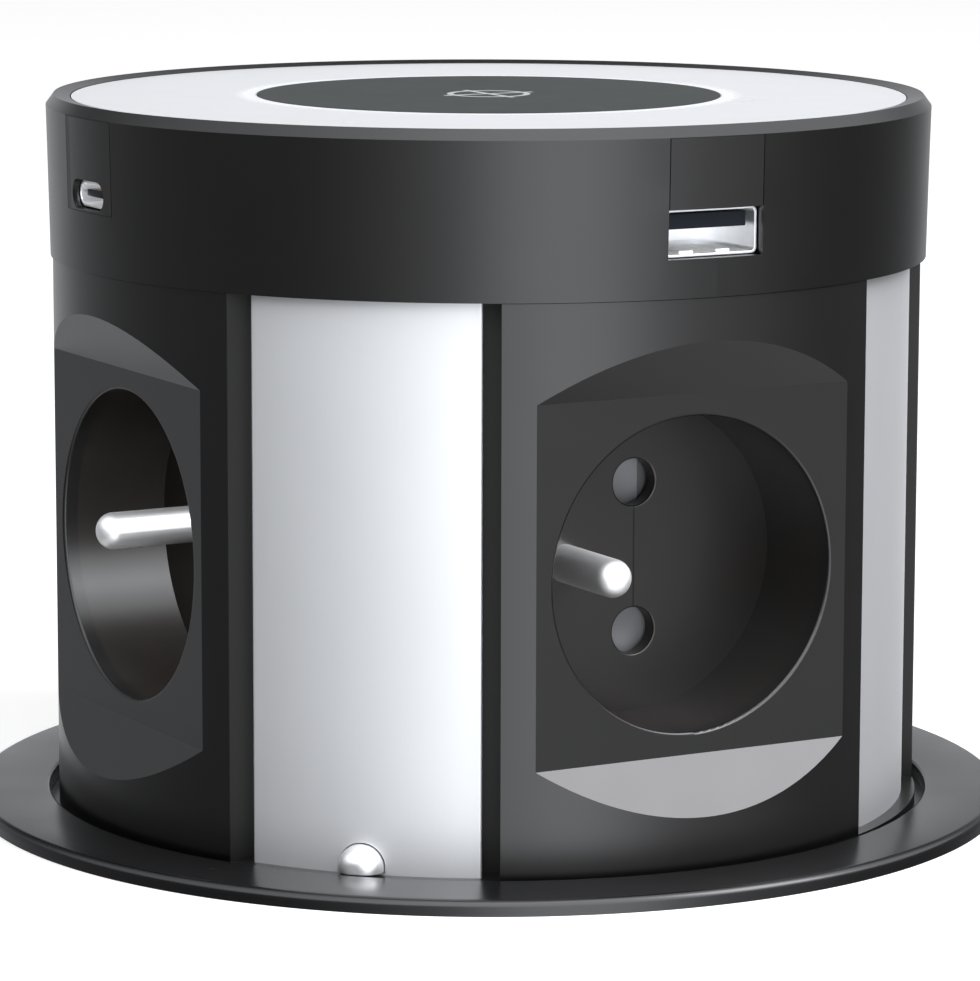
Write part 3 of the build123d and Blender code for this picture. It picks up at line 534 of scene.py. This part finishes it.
# The lengths that the finishes are given are in millimetres
def toned(tree, tone, other_tone, patch):
    """The colour of a surface that has two near tones."""
    return place_group(tree, TWO_TONES, Tone=colour(tone), Other_Tone=colour(other_tone),
                       Patch_Size=patch * MM)["Color"]


def grained(tree, grain, depth, patch, roughness, spread):
    """The roughness and the normal of a moulded surface."""
    return place_group(tree, MOULDED_GRAIN, Grain_Size=grain * MM, Grain_Depth=depth * MM,
                       Patch_Size=patch * MM, Roughness=roughness, Roughness_Spread=spread)


def feed(tree, surface, texture, tone=None):
    """Join a finish's texture, and its colour if that isn't a constant, to its shader."""
    wire(tree, (texture["Roughness"], surface["Roughness"]), (texture["Normal"], surface["Normal"]))
    if tone is not None:
        tree.links.new(tone, surface["Base Color"])


# A plastic's patches of tone are this much of the size of its patches of shine
TONE_PATCH_SHARE = 0.7


def moulded_finish(name, tone, other_tone, roughness, spread, grain, depth, patch=9.0, level=0.5):
    """A moulded plastic: two near tones, a fine grain and a slightly uneven shine."""
    material, tree, surface = new_finish(name, Specular_IOR_Level=level)
    feed(tree, surface, grained(tree, grain, depth, patch, roughness, spread),
         toned(tree, tone, other_tone, patch * TONE_PATCH_SHARE))
    return material


def metal_finish(name, tone, other_tone, roughness, spread, ways, depth, patch):
    """A metal with fine lines in it: the ways give how many lines a metre there are along each axis."""
    material, tree, surface = new_finish(name, Metallic=1.0)
    lined = place_group(tree, DRAWN_LINES, Line_Ways=ways, Line_Depth=depth * MM, Roughness=roughness,
                        Roughness_Spread=spread)
    feed(tree, surface, lined, toned(tree, tone, other_tone, patch))
    return material


# The tower's satin plastic: its tones, and its spread of roughness, grain size and grain depth
TOWER_TONES = ((0.0070, 0.0068, 0.0064), (0.0085, 0.0082, 0.0077))
TOWER_GRAIN = (0.02, 0.22, 0.002)
# The strips' painted reflection of the dark flange, a darkening at the foot: where it ends, and how dark it
# is at the desk
STRIP_PAINTED_REFLECTION_TOP = 9.0 * MM
STRIP_PAINTED_REFLECTION_TONE = 0.80


def strip_finish():
    """Satin aluminium with a painted reflection of the dark flange: its colour is darker towards its foot.
    """
    material = metal_finish("satin_aluminium", (0.595, 0.60, 0.605), (0.58, 0.585, 0.59), 0.58, 0.03,
                            UPRIGHT, 0.0015, 12.0)
    tree, surface = finish_parts(material)
    # Painted reflection: the colour darkens towards the strip's foot, standing in for the dark flange seen
    # in the metal
    level = smooth_range(tree, split_place(tree)[2], 0.0, STRIP_PAINTED_REFLECTION_TOP, STRIP_PAINTED_REFLECTION_TONE, 1.0)
    painted_reflection = tree.nodes.new("ShaderNodeVectorMath")
    painted_reflection.operation = "SCALE"
    plain = surface["Base Color"].links[0].from_socket
    wire(tree, (plain, painted_reflection.inputs["Vector"]), (level, painted_reflection.inputs["Scale"]),
         (painted_reflection.outputs["Vector"], surface["Base Color"]))
    return material


# The pad, the glow round it, and the arms and ring of the mark on it
PAD_RADIUS = 30.3 * MM
GLOW_OUTER_RADIUS = 33.4 * MM
MARK_RADIUS = 4.6 * MM
MARK_WIDTH = 0.9 * MM
MARK_REACH = 6.6 * MM
MARK_COLOUR = (0.62, 0.65, 0.64, 1)


def disc_finish():
    """Polished white acrylic with a painted glow: it emits a little light near the light ring, as if the
    ring's light spilled onto it.
    """
    material, tree, surface = new_finish("acrylic_white", Emission_Strength=0.16)
    feed(tree, surface, grained(tree, grain=1.5, depth=0.001, patch=14.0, roughness=0.26, spread=0.03),
         toned(tree, (0.885, 0.918, 0.925), (0.905, 0.932, 0.938), 22.0))
    # Painted glow: the disc emits light within the light ring's outer radius, though it is no lamp
    painted_glow = place_group(tree, ROUND_BAND, Inner_Radius=0.0, Outer_Radius=GLOW_OUTER_RADIUS,
                       Outer_Softness=2.0 * MM)
    tree.links.new(painted_glow["Mask"], surface["Emission Color"])
    return material


def light_ring_finish():
    """The frosted light guide round the pad, lit from below and brightest along its middle."""
    material, tree, surface = new_finish("light_guide", Base_Color=colour((0.55, 0.57, 0.60)),
                                         Emission_Strength=0.42)
    feed(tree, surface, grained(tree, grain=0.15, depth=0.004, patch=4.0, roughness=0.5, spread=0.05))
    band = place_group(tree, ROUND_BAND, Inner_Radius=PAD_RADIUS, Outer_Radius=GLOW_OUTER_RADIUS,
                       Inner_Softness=0.4 * MM, Outer_Softness=1.4 * MM)
    tree.links.new(band["Mask"], surface["Emission Color"])
    return material


def pad_finish():
    """The soft-touch charging pad with a plain ring and crosshair where the phone is centred."""
    material, tree, surface = new_finish("soft_touch_pad", Specular_IOR_Level=0.22)
    ring = place_group(tree, ROUND_BAND, Inner_Radius=MARK_RADIUS, Outer_Radius=MARK_RADIUS + MARK_WIDTH)
    field = place_group(tree, ROUND_BAND, Inner_Radius=0.0, Outer_Radius=MARK_REACH)
    near = math_node(tree, "MINIMUM", field["Across"], field["Along"])
    arms = math_node(tree, "MULTIPLY", math_node(tree, "LESS_THAN", near, MARK_WIDTH / 2), field["Mask"])
    mark = math_node(tree, "MAXIMUM", arms, ring["Mask"])
    plain = toned(tree, (0.034, 0.039, 0.036), (0.040, 0.045, 0.042), 5.0)
    feed(tree, surface, grained(tree, grain=0.12, depth=0.006, patch=6.0, roughness=0.62, spread=0.04),
         mixed(tree, "RGBA", mark, plain, MARK_COLOUR))
    return material


# The mould line in a recess, the edge of the painted shade past an upper shutter's ramp step, and the edge
# of the painted shadow of the gap beside the small insert
CUP_LINE_WIDTH = 0.22 * MM
CUP_LINE_REACH = 6.4 * MM
CUP_LINE_DEPTH = 0.6
SHUTTER_RAMP_EDGE = 1.9 * MM
SHUTTER_RAMP_PAINTED_SHADE = (0.035, 0.036, 0.038, 1)
INSERT_PAINTED_GAP_EDGE = 5.35 * MM


def dull_or_shade_where(material, mask):
    """Take a dark finish's shine away where the mask is one, so that its own dark tone is left, for a dark
    line or for painted shade.
    """
    tree, surface = finish_parts(material)
    tree.links.new(mask, surface["Metallic"])
    return material


def cup_finish():
    """A socket's dark recess, with the fine mould line that joins its two contact holes."""
    material = moulded_finish("cup_satin", (0.0125, 0.0105, 0.0090), (0.0150, 0.0125, 0.0105), 0.32,
                              *TOWER_GRAIN)
    tree = material.node_tree
    socket = place_group(tree, SOCKET_FRAME)
    near = math_node(tree, "LESS_THAN", math_node(tree, "ABSOLUTE", socket["Sideways"]), CUP_LINE_WIDTH / 2)
    level = math_node(tree, "LESS_THAN", math_node(tree, "ABSOLUTE", socket["Upwards"]), CUP_LINE_REACH)
    line = math_node(tree, "MULTIPLY", near, level)
    return dull_or_shade_where(material, math_node(tree, "MULTIPLY", line, CUP_LINE_DEPTH))


def shutter_finish():
    """The grey shutters, with painted shade past the step where the upper shutter's ramp falls away."""
    material = moulded_finish("shutter_plastic", (0.26, 0.27, 0.28), (0.29, 0.30, 0.31), 0.42, 0.03, 0.2,
                              0.004, 4.0)
    tree, surface = finish_parts(material)
    socket = place_group(tree, SOCKET_FRAME)
    # Painted shade: the upper shutters are a darker grey past the ramp's step
    past = math_node(tree, "GREATER_THAN", socket["Sideways"], SHUTTER_RAMP_EDGE)
    painted_ramp_shade = math_node(tree, "MULTIPLY", past, math_node(tree, "GREATER_THAN", socket["Upwards"], 0.0))
    plain = surface["Base Color"].links[0].from_socket
    tree.links.new(mixed(tree, "RGBA", painted_ramp_shade, plain, SHUTTER_RAMP_PAINTED_SHADE), surface["Base Color"])
    return material


def insert_finish():
    """The small port's insert, with a painted shadow: a dark band along its left edge stands in for the
    shade of the gap there.
    """
    material = moulded_finish("insert_satin", *TOWER_TONES, 0.31, *TOWER_GRAIN)
    tree = material.node_tree
    # Painted shadow: left of the edge the shine is taken away, leaving a dark band for the gap's shade
    return dull_or_shade_where(material, math_node(tree, "LESS_THAN", split_place(tree)[0], -INSERT_PAINTED_GAP_EDGE))


# How far out the painted shade in the ring's bore reaches, and how rough the panels are in their grooves
TRIM_BORE_SHADE_EDGE = 58.75 * MM
GROOVE_ROUGHNESS = 0.68
# The heights between which the painted shade at the panels' foot fades and the panels gain their shine
PANEL_FOOT_PAINTED_SHADE = (-3.0 * MM, 8.0 * MM)


def trim_finish():
    """The ring's gloss black, with painted shade down its bore, where its shine is taken away."""
    material = moulded_finish("gloss_trim", (0.0035, 0.0035, 0.0037), (0.0050, 0.0050, 0.0052), 0.26, 0.03,
                              0.25, 0.001)
    # Painted shade: the bore is darkened by taking its shine away
    painted_bore_shade = place_group(material.node_tree, ROUND_BAND, Inner_Radius=0.0, Outer_Radius=TRIM_BORE_SHADE_EDGE,
                       Outer_Softness=0.2 * MM)
    return dull_or_shade_where(material, painted_bore_shade["Mask"])


def panel_finish():
    """The tower's plastic, whose grooves beside the pillars catch the light as rolled edges do, with painted
    shade at its foot.
    """
    material = moulded_finish("panel_satin", *TOWER_TONES, 0.31, *TOWER_GRAIN)
    tree, surface = finish_parts(material)
    groove = place_group(tree, GROOVE_EDGE)
    for socket, kind, value in (("Normal", "VECTOR", groove["Normal"]),
                                ("Roughness", "FLOAT", GROOVE_ROUGHNESS)):
        plain = surface[socket].links[0].from_socket
        tree.links.new(mixed(tree, kind, groove["Mask"], plain, value), surface[socket])
    # Painted shade: the panels lose their shine towards their foot and darken near the flange
    return dull_or_shade_where(material, smooth_range(tree, groove["Height"], *PANEL_FOOT_PAINTED_SHADE, 1.0, 0.0))


# Lines a metre along each axis: upright for the extruded strips, even for the rest
UPRIGHT = (6000.0, 6000.0, 60.0)
EVEN = (2500.0, 2500.0, 2500.0)
# Each plastic: its name, tones, roughness and spread, grain size and depth, size of patches, specular level
PLASTICS = {
    "gasket_rubber": ("gasket_rubber", 0.018, 0.026, 0.75, 0.06, 0.3, 0.02),
    "barrel_black": ("barrel_nylon", 0.012, 0.018, 0.48, 0.05, 0.3, 0.010),
    "tower_black": ("tower_satin", *TOWER_TONES, 0.31, *TOWER_GRAIN),
    "block_grey": ("block_thermoset", (0.17, 0.175, 0.18), (0.21, 0.215, 0.22), 0.5, 0.05, 0.3, 0.010),
    "board_green": ("board_mask", (0.010, 0.075, 0.032), (0.016, 0.100, 0.045), 0.30, 0.05, 0.4, 0.006, 3.0),
    "ferrite_grey": (
        "sintered_ferrite", (0.045, 0.045, 0.048), (0.065, 0.065, 0.070), 0.6, 0.08, 0.2, 0.020, 2.0),
    "tongue_black": (
        "tongue_plastic", (0.006, 0.010, 0.015), (0.008, 0.012, 0.018), 0.5, 0.03, 0.15, 0.003, 1.5, 0.2),
}
# Each metal: its name, tones, roughness and spread, ways and depth of its lines, and the size of its patches
METALS = {
    "zinc_steel": ("bright_zinc", (0.60, 0.61, 0.62), (0.50, 0.52, 0.54), 0.34, 0.08, EVEN, 0.002, 3.0),
    "latch_nickel": ("latch_nickel", 0.78, 0.74, 0.38, 0.03, EVEN, 0.001, 2.0),
    "spring_steel": ("spring_steel", (0.52, 0.52, 0.53), (0.44, 0.44, 0.46), 0.28, 0.05, EVEN, 0.001, 1.0),
    "pin_nickel": ("pin_nickel", (0.90, 0.90, 0.89), 0.85, 0.50, 0.03, EVEN, 0.001, 2.0),
    "contact_brass": ("rolled_brass", (0.72, 0.52, 0.22), (0.62, 0.43, 0.17), 0.3, 0.06, EVEN, 0.002, 3.0),
    "port_steel": ("port_tin", (0.88, 0.89, 0.90), (0.83, 0.84, 0.86), 0.42, 0.04, EVEN, 0.0003, 1.5),
    "coil_copper": (
        "enamelled_copper", (0.62, 0.24, 0.12), (0.50, 0.18, 0.09), 0.28, 0.05, EVEN, 0.001, 2.0),
}
FINISHES = {slot: moulded_finish(*values) for slot, values in PLASTICS.items()}
FINISHES.update((slot, metal_finish(*values)) for slot, values in METALS.items())
FINISHES.update({
    "trim_black": trim_finish(), "panel_black": panel_finish(), "cup_black": cup_finish(),
    "insert_black": insert_finish(), "satin_aluminium": strip_finish(), "shutter_grey": shutter_finish(),
    "disc_white": disc_finish(), "light_white": light_ring_finish(), "pad_grey": pad_finish(),
})


# Geometry Nodes trees for what repeats or follows a path
def new_tree(name, inputs):
    """An empty Geometry Nodes tree with inputs of the named kinds and a material."""
    tree = bpy.data.node_groups.new(name, "GeometryNodeTree")
    tree.interface.new_socket("Geometry", in_out="INPUT", socket_type="NodeSocketGeometry")
    for socket, kind in (*inputs.items(), ("Material", "Material")):
        tree.interface.new_socket(socket, in_out="INPUT", socket_type=f"NodeSocket{kind}")
    tree.interface.new_socket("Geometry", in_out="OUTPUT", socket_type="NodeSocketGeometry")
    return tree, tree.nodes.new("NodeGroupInput").outputs, tree.nodes.new("NodeGroupOutput").inputs


def end_tree(tree, given, out, geometry):
    """Every tree ends in Realize Instances and Set Material."""
    realize = tree.nodes.new("GeometryNodeRealizeInstances")
    paint = tree.nodes.new("GeometryNodeSetMaterial")
    wire(tree, (geometry, realize.inputs["Geometry"]), (given["Material"], paint.inputs["Material"]),
         (realize.outputs["Geometry"], paint.inputs["Geometry"]),
         (paint.outputs["Geometry"], out["Geometry"]))


def spiral_bar_tree():
    """A bar that follows a helix or a flat spiral, for a screw thread or a winding."""
    tree, given, out = new_tree("spiral_bar", {
        "Start Radius": "Float", "End Radius": "Float", "Rise": "Float", "Turns": "Float",
        "Bar Radius": "Float", "Foot": "Float", "Sides a Turn": "Int", "Bar Sides": "Int",
    })
    spiral = tree.nodes.new("GeometryNodeCurveSpiral")
    upright = tree.nodes.new("GeometryNodeSetCurveNormal")
    upright.mode = "Z_UP"
    section = tree.nodes.new("GeometryNodeCurvePrimitiveCircle")
    bar = tree.nodes.new("GeometryNodeCurveToMesh")
    bar.inputs["Fill Caps"].default_value = True
    lift = tree.nodes.new("ShaderNodeCombineXYZ")
    move = tree.nodes.new("GeometryNodeTransform")
    for node, socket, name in (
            (spiral, "Resolution", "Sides a Turn"), (spiral, "Rotations", "Turns"),
            (spiral, "Start Radius", "Start Radius"), (spiral, "End Radius", "End Radius"),
            (spiral, "Height", "Rise"), (section, "Resolution", "Bar Sides"),
            (section, "Radius", "Bar Radius"), (lift, "Z", "Foot")):
        tree.links.new(given[name], node.inputs[socket])
    wire(tree, (spiral.outputs["Curve"], upright.inputs["Curve"]),
         (upright.outputs["Curve"], bar.inputs["Curve"]),
         (section.outputs["Curve"], bar.inputs["Profile Curve"]),
         (bar.outputs["Mesh"], move.inputs["Geometry"]),
         (lift.outputs["Vector"], move.inputs["Translation"]))
    end_tree(tree, given, out, move.outputs["Geometry"])
    return tree


def block_row_tree():
    """A row of equal blocks centred on the origin, for contacts and tabs."""
    tree, given, out = new_tree("block_row", {"Count": "Int", "Spacing": "Float", "Block Size": "Vector"})
    gaps = math_node(tree, "SUBTRACT", given["Count"], 1)
    half = math_node(tree, "MULTIPLY", math_node(tree, "MULTIPLY", gaps, given["Spacing"]), -0.5)
    start = tree.nodes.new("ShaderNodeCombineXYZ")
    step = tree.nodes.new("ShaderNodeCombineXYZ")
    line = tree.nodes.new("GeometryNodeMeshLine")
    block = tree.nodes.new("GeometryNodeMeshCube")
    spread = tree.nodes.new("GeometryNodeInstanceOnPoints")
    wire(tree, (half, start.inputs["X"]), (given["Spacing"], step.inputs["X"]),
         (given["Count"], line.inputs["Count"]), (start.outputs["Vector"], line.inputs["Start Location"]),
         (step.outputs["Vector"], line.inputs["Offset"]), (given["Block Size"], block.inputs["Size"]),
         (line.outputs["Mesh"], spread.inputs["Points"]), (block.outputs["Mesh"], spread.inputs["Instance"]))
    end_tree(tree, given, out, spread.outputs["Instances"])
    return tree


def grown(name, tree, place=None, **values):
    """Runs a tree with its named values and keeps the result as a plain mesh, moved to its place."""
    seed = link_new(name + "_seed", bpy.data.meshes.new(name + "_seed"))
    growth = seed.modifiers.new("growth", "NODES")
    growth.node_group = tree
    for item in tree.interface.items_tree:
        key = item.name.replace(" ", "_")
        if item.item_type == "SOCKET" and item.in_out == "INPUT" and key in values:
            growth[item.identifier] = values[key]
    mesh = bpy.data.meshes.new_from_object(seed.evaluated_get(bpy.context.evaluated_depsgraph_get()))
    seed.modifiers.remove(growth)
    bpy.data.objects.remove(seed)
    mesh.name = name
    if place is not None:
        mesh.transform(place)
    return link_new(name, mesh)


SPIRAL_BAR = spiral_bar_tree()
BLOCK_ROW = block_row_tree()


# Helpers for the pieces that replace plain nodes
MERGE_DISTANCE = 0.0001 * MM
BEVEL_ANGLE = radians(40)
BEVEL_STEPS = 2
SHELL_EDGE = 0.06 * MM


def fit_out(piece, body, slot, finish=None):
    """Gives a new piece its body and its finish, which is its slot's unless another is named."""
    piece.data.materials.clear()
    piece.data.materials.append(FINISHES[finish or slot])
    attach(piece, body)


def closed_piece(shape, name, place=None, bevel=0.0):
    """Makes an object of a closed shape with its faces turned outwards and its edges rounded."""
    bmesh.ops.remove_doubles(shape, verts=shape.verts, dist=MERGE_DISTANCE)
    bmesh.ops.recalc_face_normals(shape, faces=shape.faces)
    if place is not None:
        shape.transform(place)
    piece = made_object(name, shape)
    if bevel:
        edge = piece.modifiers.new("rounded_edges", "BEVEL")
        edge.width = bevel
        edge.segments = BEVEL_STEPS
        edge.limit_method = "ANGLE"
        edge.angle_limit = BEVEL_ANGLE
    return piece


def smooth_but(piece, angle):
    """Smooth shading, except at edges that are sharper than the angle."""
    piece.data.shade_smooth()
    piece.data.set_sharp_from_angle(angle=angle)


def node_box(node):
    """The lowest and highest corners of a node."""
    return [Vector(corner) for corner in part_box(node)]


def rounded_outline(width, height, corner, steps):
    """The points of a rectangle with round corners, anticlockwise."""
    points = []
    for quarter, (side, rise) in enumerate(((1, 1), (-1, 1), (-1, -1), (1, -1))):
        for step in range(steps + 1):
            angle = pi / 2 * (quarter + step / steps)
            points.append((side * (width / 2 - corner) + corner * cos(angle),
                           rise * (height / 2 - corner) + corner * sin(angle)))
    return points


def folded_shell(name, place, width, height, depth, corner, inner_corner, steps):
    """A port's folded metal shell, open at the front, with round corners outside and inside."""
    outer = rounded_outline(width, height, corner, steps)
    inner = rounded_outline(width - 2 * PORT_WALL, height - 2 * PORT_WALL, inner_corner, steps)
    shape = bmesh.new()
    loops = [[shape.verts.new((x, y, level)) for x, y in outline]
             for outline, level in ((outer, -depth), (outer, 0), (inner, 0), (inner, PORT_WALL - depth))]
    for first, second in zip(loops, loops[1:]):
        join_loops(shape, second, first)
    shape.faces.new(loops[0])
    shape.faces.new(loops[-1])
    shell = closed_piece(shape, name, place, SHELL_EDGE)
    fit_out(shell, "tower", "port_steel")
    return shell


def block_shape(low, high):
    """A closed rectangular block."""
    shape = bmesh.new()
    corners = [shape.verts.new((x, y, z)) for x in (low[0], high[0]) for y in (low[1], high[1])
               for z in (low[2], high[2])]
    for face in ((0, 1, 3, 2), (4, 6, 7, 5), (0, 4, 5, 1), (2, 3, 7, 6), (0, 2, 6, 4), (1, 5, 7, 3)):
        shape.faces.new([corners[number] for number in face])
    return shape


def turned_shape(outline, sides):
    """A closed ring turned about the tower's axis from an outline of radii and heights."""
    shape = bmesh.new()
    turns = [2 * pi * step / sides for step in range(sides)]
    rings = [[shape.verts.new((r * cos(turn), r * sin(turn), z)) for r, z in outline] for turn in turns]
    for step, ring in enumerate(rings):
        join_loops(shape, ring, rings[(step + 1) % sides])
    return shape


# The barrel under the desk: a threaded tube with an inward lip
THREAD_PITCH = 3.0 * MM
THREAD_TOP = -6.0 * MM
THREAD_CREST = 61.88 * MM
THREAD_ROOT = 61.25 * MM
THREAD_SIDES = 3
BARREL_SIDES = 96
BARREL_BORE = 59.701 * MM
BARREL_LIP_RADIUS = 50.001 * MM
BARREL_LIP_HEIGHT = 1.8 * MM


def add_barrel():
    """The tube and its helical ridge, in place of the plain collar."""
    low, high = node_box("collar")
    ridge = THREAD_CREST - THREAD_ROOT
    tube = closed_piece(turned_shape((
        (BARREL_BORE, high.z), (BARREL_BORE, low.z + BARREL_LIP_HEIGHT),
        (BARREL_LIP_RADIUS, low.z + BARREL_LIP_HEIGHT), (BARREL_LIP_RADIUS, low.z), (THREAD_ROOT, low.z),
        (THREAD_ROOT, THREAD_TOP), (high.x, THREAD_TOP + ridge), (high.x, high.z),
    ), BARREL_SIDES), "barrel")
    turns = (THREAD_TOP - low.z) / THREAD_PITCH - 1
    thread = grown("barrel_thread", SPIRAL_BAR, Start_Radius=THREAD_ROOT, End_Radius=THREAD_ROOT,
                   Rise=turns * THREAD_PITCH, Turns=turns, Bar_Radius=ridge, Foot=low.z + THREAD_PITCH / 2,
                   Sides_a_Turn=BARREL_SIDES, Bar_Sides=THREAD_SIDES, Material=FINISHES["barrel_black"])
    for piece in (tube, thread):
        fit_out(piece, "housing", "barrel_black")
    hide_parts("collar")


# The trim ring, with a smaller round at its bore than at its outer edge
TRIM_BORE_RADIUS = 58.351 * MM
TRIM_EDGE_ROUND = 1.0 * MM
TRIM_BORE_ROUND = 0.4 * MM
# The seats under the ring for the collar and the gasket: inner radius, outer radius and depth
TRIM_POCKET = (59.66 * MM, 61.95 * MM, 1.0 * MM)
TRIM_GROOVE = (63.46 * MM, 66.75 * MM, 0.8 * MM)
TRIM_SIDES = 360
TRIM_SHARP = radians(30)
ROUND_STEPS = 8


def add_trim():
    """The trim ring turned from a fine outline, so that the light runs evenly along its rolled edge."""
    low, high = node_box("trim_ring")
    outline = []
    for middle, size, start in ((TRIM_BORE_RADIUS + TRIM_BORE_ROUND, TRIM_BORE_ROUND, 180),
                                (high.x - TRIM_EDGE_ROUND, TRIM_EDGE_ROUND, 90)):
        for step in range(ROUND_STEPS + 1):
            angle = radians(start - 90 * step / ROUND_STEPS)
            outline.append((middle + size * cos(angle), high.z - size + size * sin(angle)))
    outline.append((high.x, low.z))
    for inner, outer, depth in (TRIM_GROOVE, TRIM_POCKET):
        outline += [(outer, low.z), (outer, low.z + depth), (inner, low.z + depth), (inner, low.z)]
    outline.append((TRIM_BORE_RADIUS, low.z))
    ring = closed_piece(turned_shape(outline, TRIM_SIDES), "trim_turned")
    smooth_but(ring, TRIM_SHARP)
    fit_out(ring, "housing", "trim_black")
    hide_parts("trim_ring")


# The ports, each drawn in its own frame: across, up and out of its opening, from its node's front
PORT_WALL = 0.3 * MM
USB_A_CORNER = 0.7 * MM
USB_A_ROUND_STEPS = 6
USB_A_TONGUE_WIDTH = 11.1 * MM
USB_A_TONGUE_HEIGHT = 1.9 * MM
USB_A_TONGUE_SETBACK = 0.9 * MM
USB_A_TONGUE_EDGE = 0.15 * MM
USB_A_CONTACTS = 4
USB_A_CONTACT_SPACING = 2.35 * MM
USB_A_CONTACT_SIZE = (1.1 * MM, 0.12 * MM, 7.5 * MM)
USB_A_CONTACT_SETBACK = USB_A_TONGUE_SETBACK + 0.8 * MM
USB_A_TABS = 2
USB_A_TAB_SPACING = 5.2 * MM
USB_A_TAB_SIZE = (1.9 * MM, 0.25 * MM, 6.0 * MM)
USB_A_TAB_SETBACK = 1.5 * MM
USB_C_ROUND_STEPS = 12
USB_C_TONGUE_WIDTH = 6.7 * MM
USB_C_TONGUE_HEIGHT = 0.85 * MM
USB_C_TONGUE_SETBACK = 0.5 * MM
USB_C_TONGUE_EDGE = 0.1 * MM
USB_C_CONTACTS = 12
USB_C_CONTACT_SPACING = 0.5 * MM
USB_C_CONTACT_SIZE = (0.26 * MM, 0.06 * MM, 3.6 * MM)
USB_C_CONTACT_SETBACK = USB_C_TONGUE_SETBACK + 0.4 * MM


def port_frame(node, out_way, across_way):
    """A port's width, height and depth, and the turn and move from its own frame to its node's front."""
    low, high = node_box(node)
    ways = Vector(across_way), Vector((0, 0, 1)), Vector(out_way)
    width, height, depth = (abs((high - low).dot(way)) for way in ways)
    front = (low + high) / 2 + ways[2] * depth / 2
    return width, height, depth, Matrix.Translation(front) @ Matrix(ways).transposed().to_4x4()


def add_row(name, place, rise, setback, count, spacing, size, finish):
    """A row of equal blocks in a port, at a rise above its middle, with its front set back."""
    place = place @ Matrix.Translation((0, rise, -setback - size[2] / 2))
    row = grown(name, BLOCK_ROW, place, Count=count, Spacing=spacing, Block_Size=size,
                Material=FINISHES[finish])
    fit_out(row, "tower", finish)


def add_tongue(name, place, width, bottom, top, back, setback, edge):
    """The dark tongue in a port, with its front set back."""
    shape = block_shape((-width / 2, bottom, back), (width / 2, top, -setback))
    fit_out(closed_piece(shape, name, place, edge), "tower", "port_steel", "tongue_black")


def add_usb_a():
    """The wide port: a steel shell with round corners and spring tabs, a dark tongue and four contacts."""
    width, height, depth, place = port_frame("usb_a_port", (1, 0, 0), (0, 1, 0))
    shell = folded_shell("usb_a_shell", place, width, height, depth, USB_A_CORNER,
                         USB_A_CORNER - PORT_WALL / 2, USB_A_ROUND_STEPS)
    top = height / 2 - 2 * PORT_WALL
    bottom = top - USB_A_TONGUE_HEIGHT
    add_tongue("usb_a_tongue", place, USB_A_TONGUE_WIDTH, bottom, top, PORT_WALL - depth,
               USB_A_TONGUE_SETBACK, USB_A_TONGUE_EDGE)
    add_row("usb_a_contacts", place, bottom, USB_A_CONTACT_SETBACK, USB_A_CONTACTS, USB_A_CONTACT_SPACING,
            USB_A_CONTACT_SIZE, "contact_brass")
    add_row("usb_a_tabs", place, -height / 2 + PORT_WALL + USB_A_TAB_SIZE[1] / 2, USB_A_TAB_SETBACK,
            USB_A_TABS, USB_A_TAB_SPACING, USB_A_TAB_SIZE, "port_steel")
    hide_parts("usb_a_port")


def add_usb_c():
    """The small port: an oval steel shell, a dark tongue and a row of contacts on each side of it."""
    width, height, depth, place = port_frame("usb_c_port", (0, -1, 0), (1, 0, 0))
    shell = folded_shell("usb_c_shell", place, width, height, depth, height / 2, height / 2 - PORT_WALL,
                         USB_C_ROUND_STEPS)
    half = USB_C_TONGUE_HEIGHT / 2
    add_tongue("usb_c_tongue", place, USB_C_TONGUE_WIDTH, -half, half, PORT_WALL - depth,
               USB_C_TONGUE_SETBACK, USB_C_TONGUE_EDGE)
    for rise, name in ((half, "usb_c_contacts_upper"), (-half, "usb_c_contacts_lower")):
        add_row(name, place, rise, USB_C_CONTACT_SETBACK, USB_C_CONTACTS, USB_C_CONTACT_SPACING,
                USB_C_CONTACT_SIZE, "contact_brass")
    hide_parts("usb_c_port")


# The charging coil: two layers of wire wound round the coil's bore
WIRE_RADIUS = 0.46 * MM
WIRE_TURNS = 11
COIL_BORE = 10.0 * MM
WIRE_STEPS = 64
WIRE_SIDES = 8


def add_coil():
    """The wound coil, in place of the plain ring."""
    low, high = node_box("charge_coil")
    for name, level in (("coil_lower_layer", low.z + WIRE_RADIUS),
                        ("coil_upper_layer", high.z - WIRE_RADIUS)):
        layer = grown(name, SPIRAL_BAR, Start_Radius=COIL_BORE + WIRE_RADIUS,
                      End_Radius=high.x - WIRE_RADIUS, Rise=0.0, Turns=WIRE_TURNS, Bar_Radius=WIRE_RADIUS,
                      Foot=level, Sides_a_Turn=WIRE_STEPS, Bar_Sides=WIRE_SIDES,
                      Material=FINISHES["coil_copper"])
        fit_out(layer, "tower", "coil_copper")
        layer.data.shade_smooth()
    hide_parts("charge_coil")


SIDES = ("right", "back", "left", "front")

# The springs and the joint that each of them works with
SPRING_JOINTS = {"latch_spring_front": "latch_front_press", "latch_spring_back": "latch_back_press"}
SPRING_JOINTS.update((f"shutter_spring_{side}", f"shutter_{side}_slide") for side in SIDES)
SPRING_SHARP = radians(40)


def add_springs():
    """The springs again, smooth shaded, in place of the plain ones."""
    for node, name in SPRING_JOINTS.items():
        shape = bmesh.new()
        shape.from_mesh(NODES[node].data)
        spring = closed_piece(shape, f"{node}_steel")
        smooth_but(spring, SPRING_SHARP)
        fit_out(spring, "tower", "spring_steel")
        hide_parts(node)
        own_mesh(spring)


# The nodes whose finish isn't simply their slot's
OWN_FINISHES = {"usb_c_insert": "insert_black"}
OWN_FINISHES.update((f"panel_{side}", "panel_black") for side in SIDES)
for part in frame["record"]["subparts"]:
    finished = NODES[part["node"]].data.materials
    finished.clear()
    finished.append(FINISHES[OWN_FINISHES.get(part["node"], part["material_slot"])])
add_trim()
add_barrel()
add_usb_a()
add_usb_c()
add_coil()
add_springs()
add_softboxes()
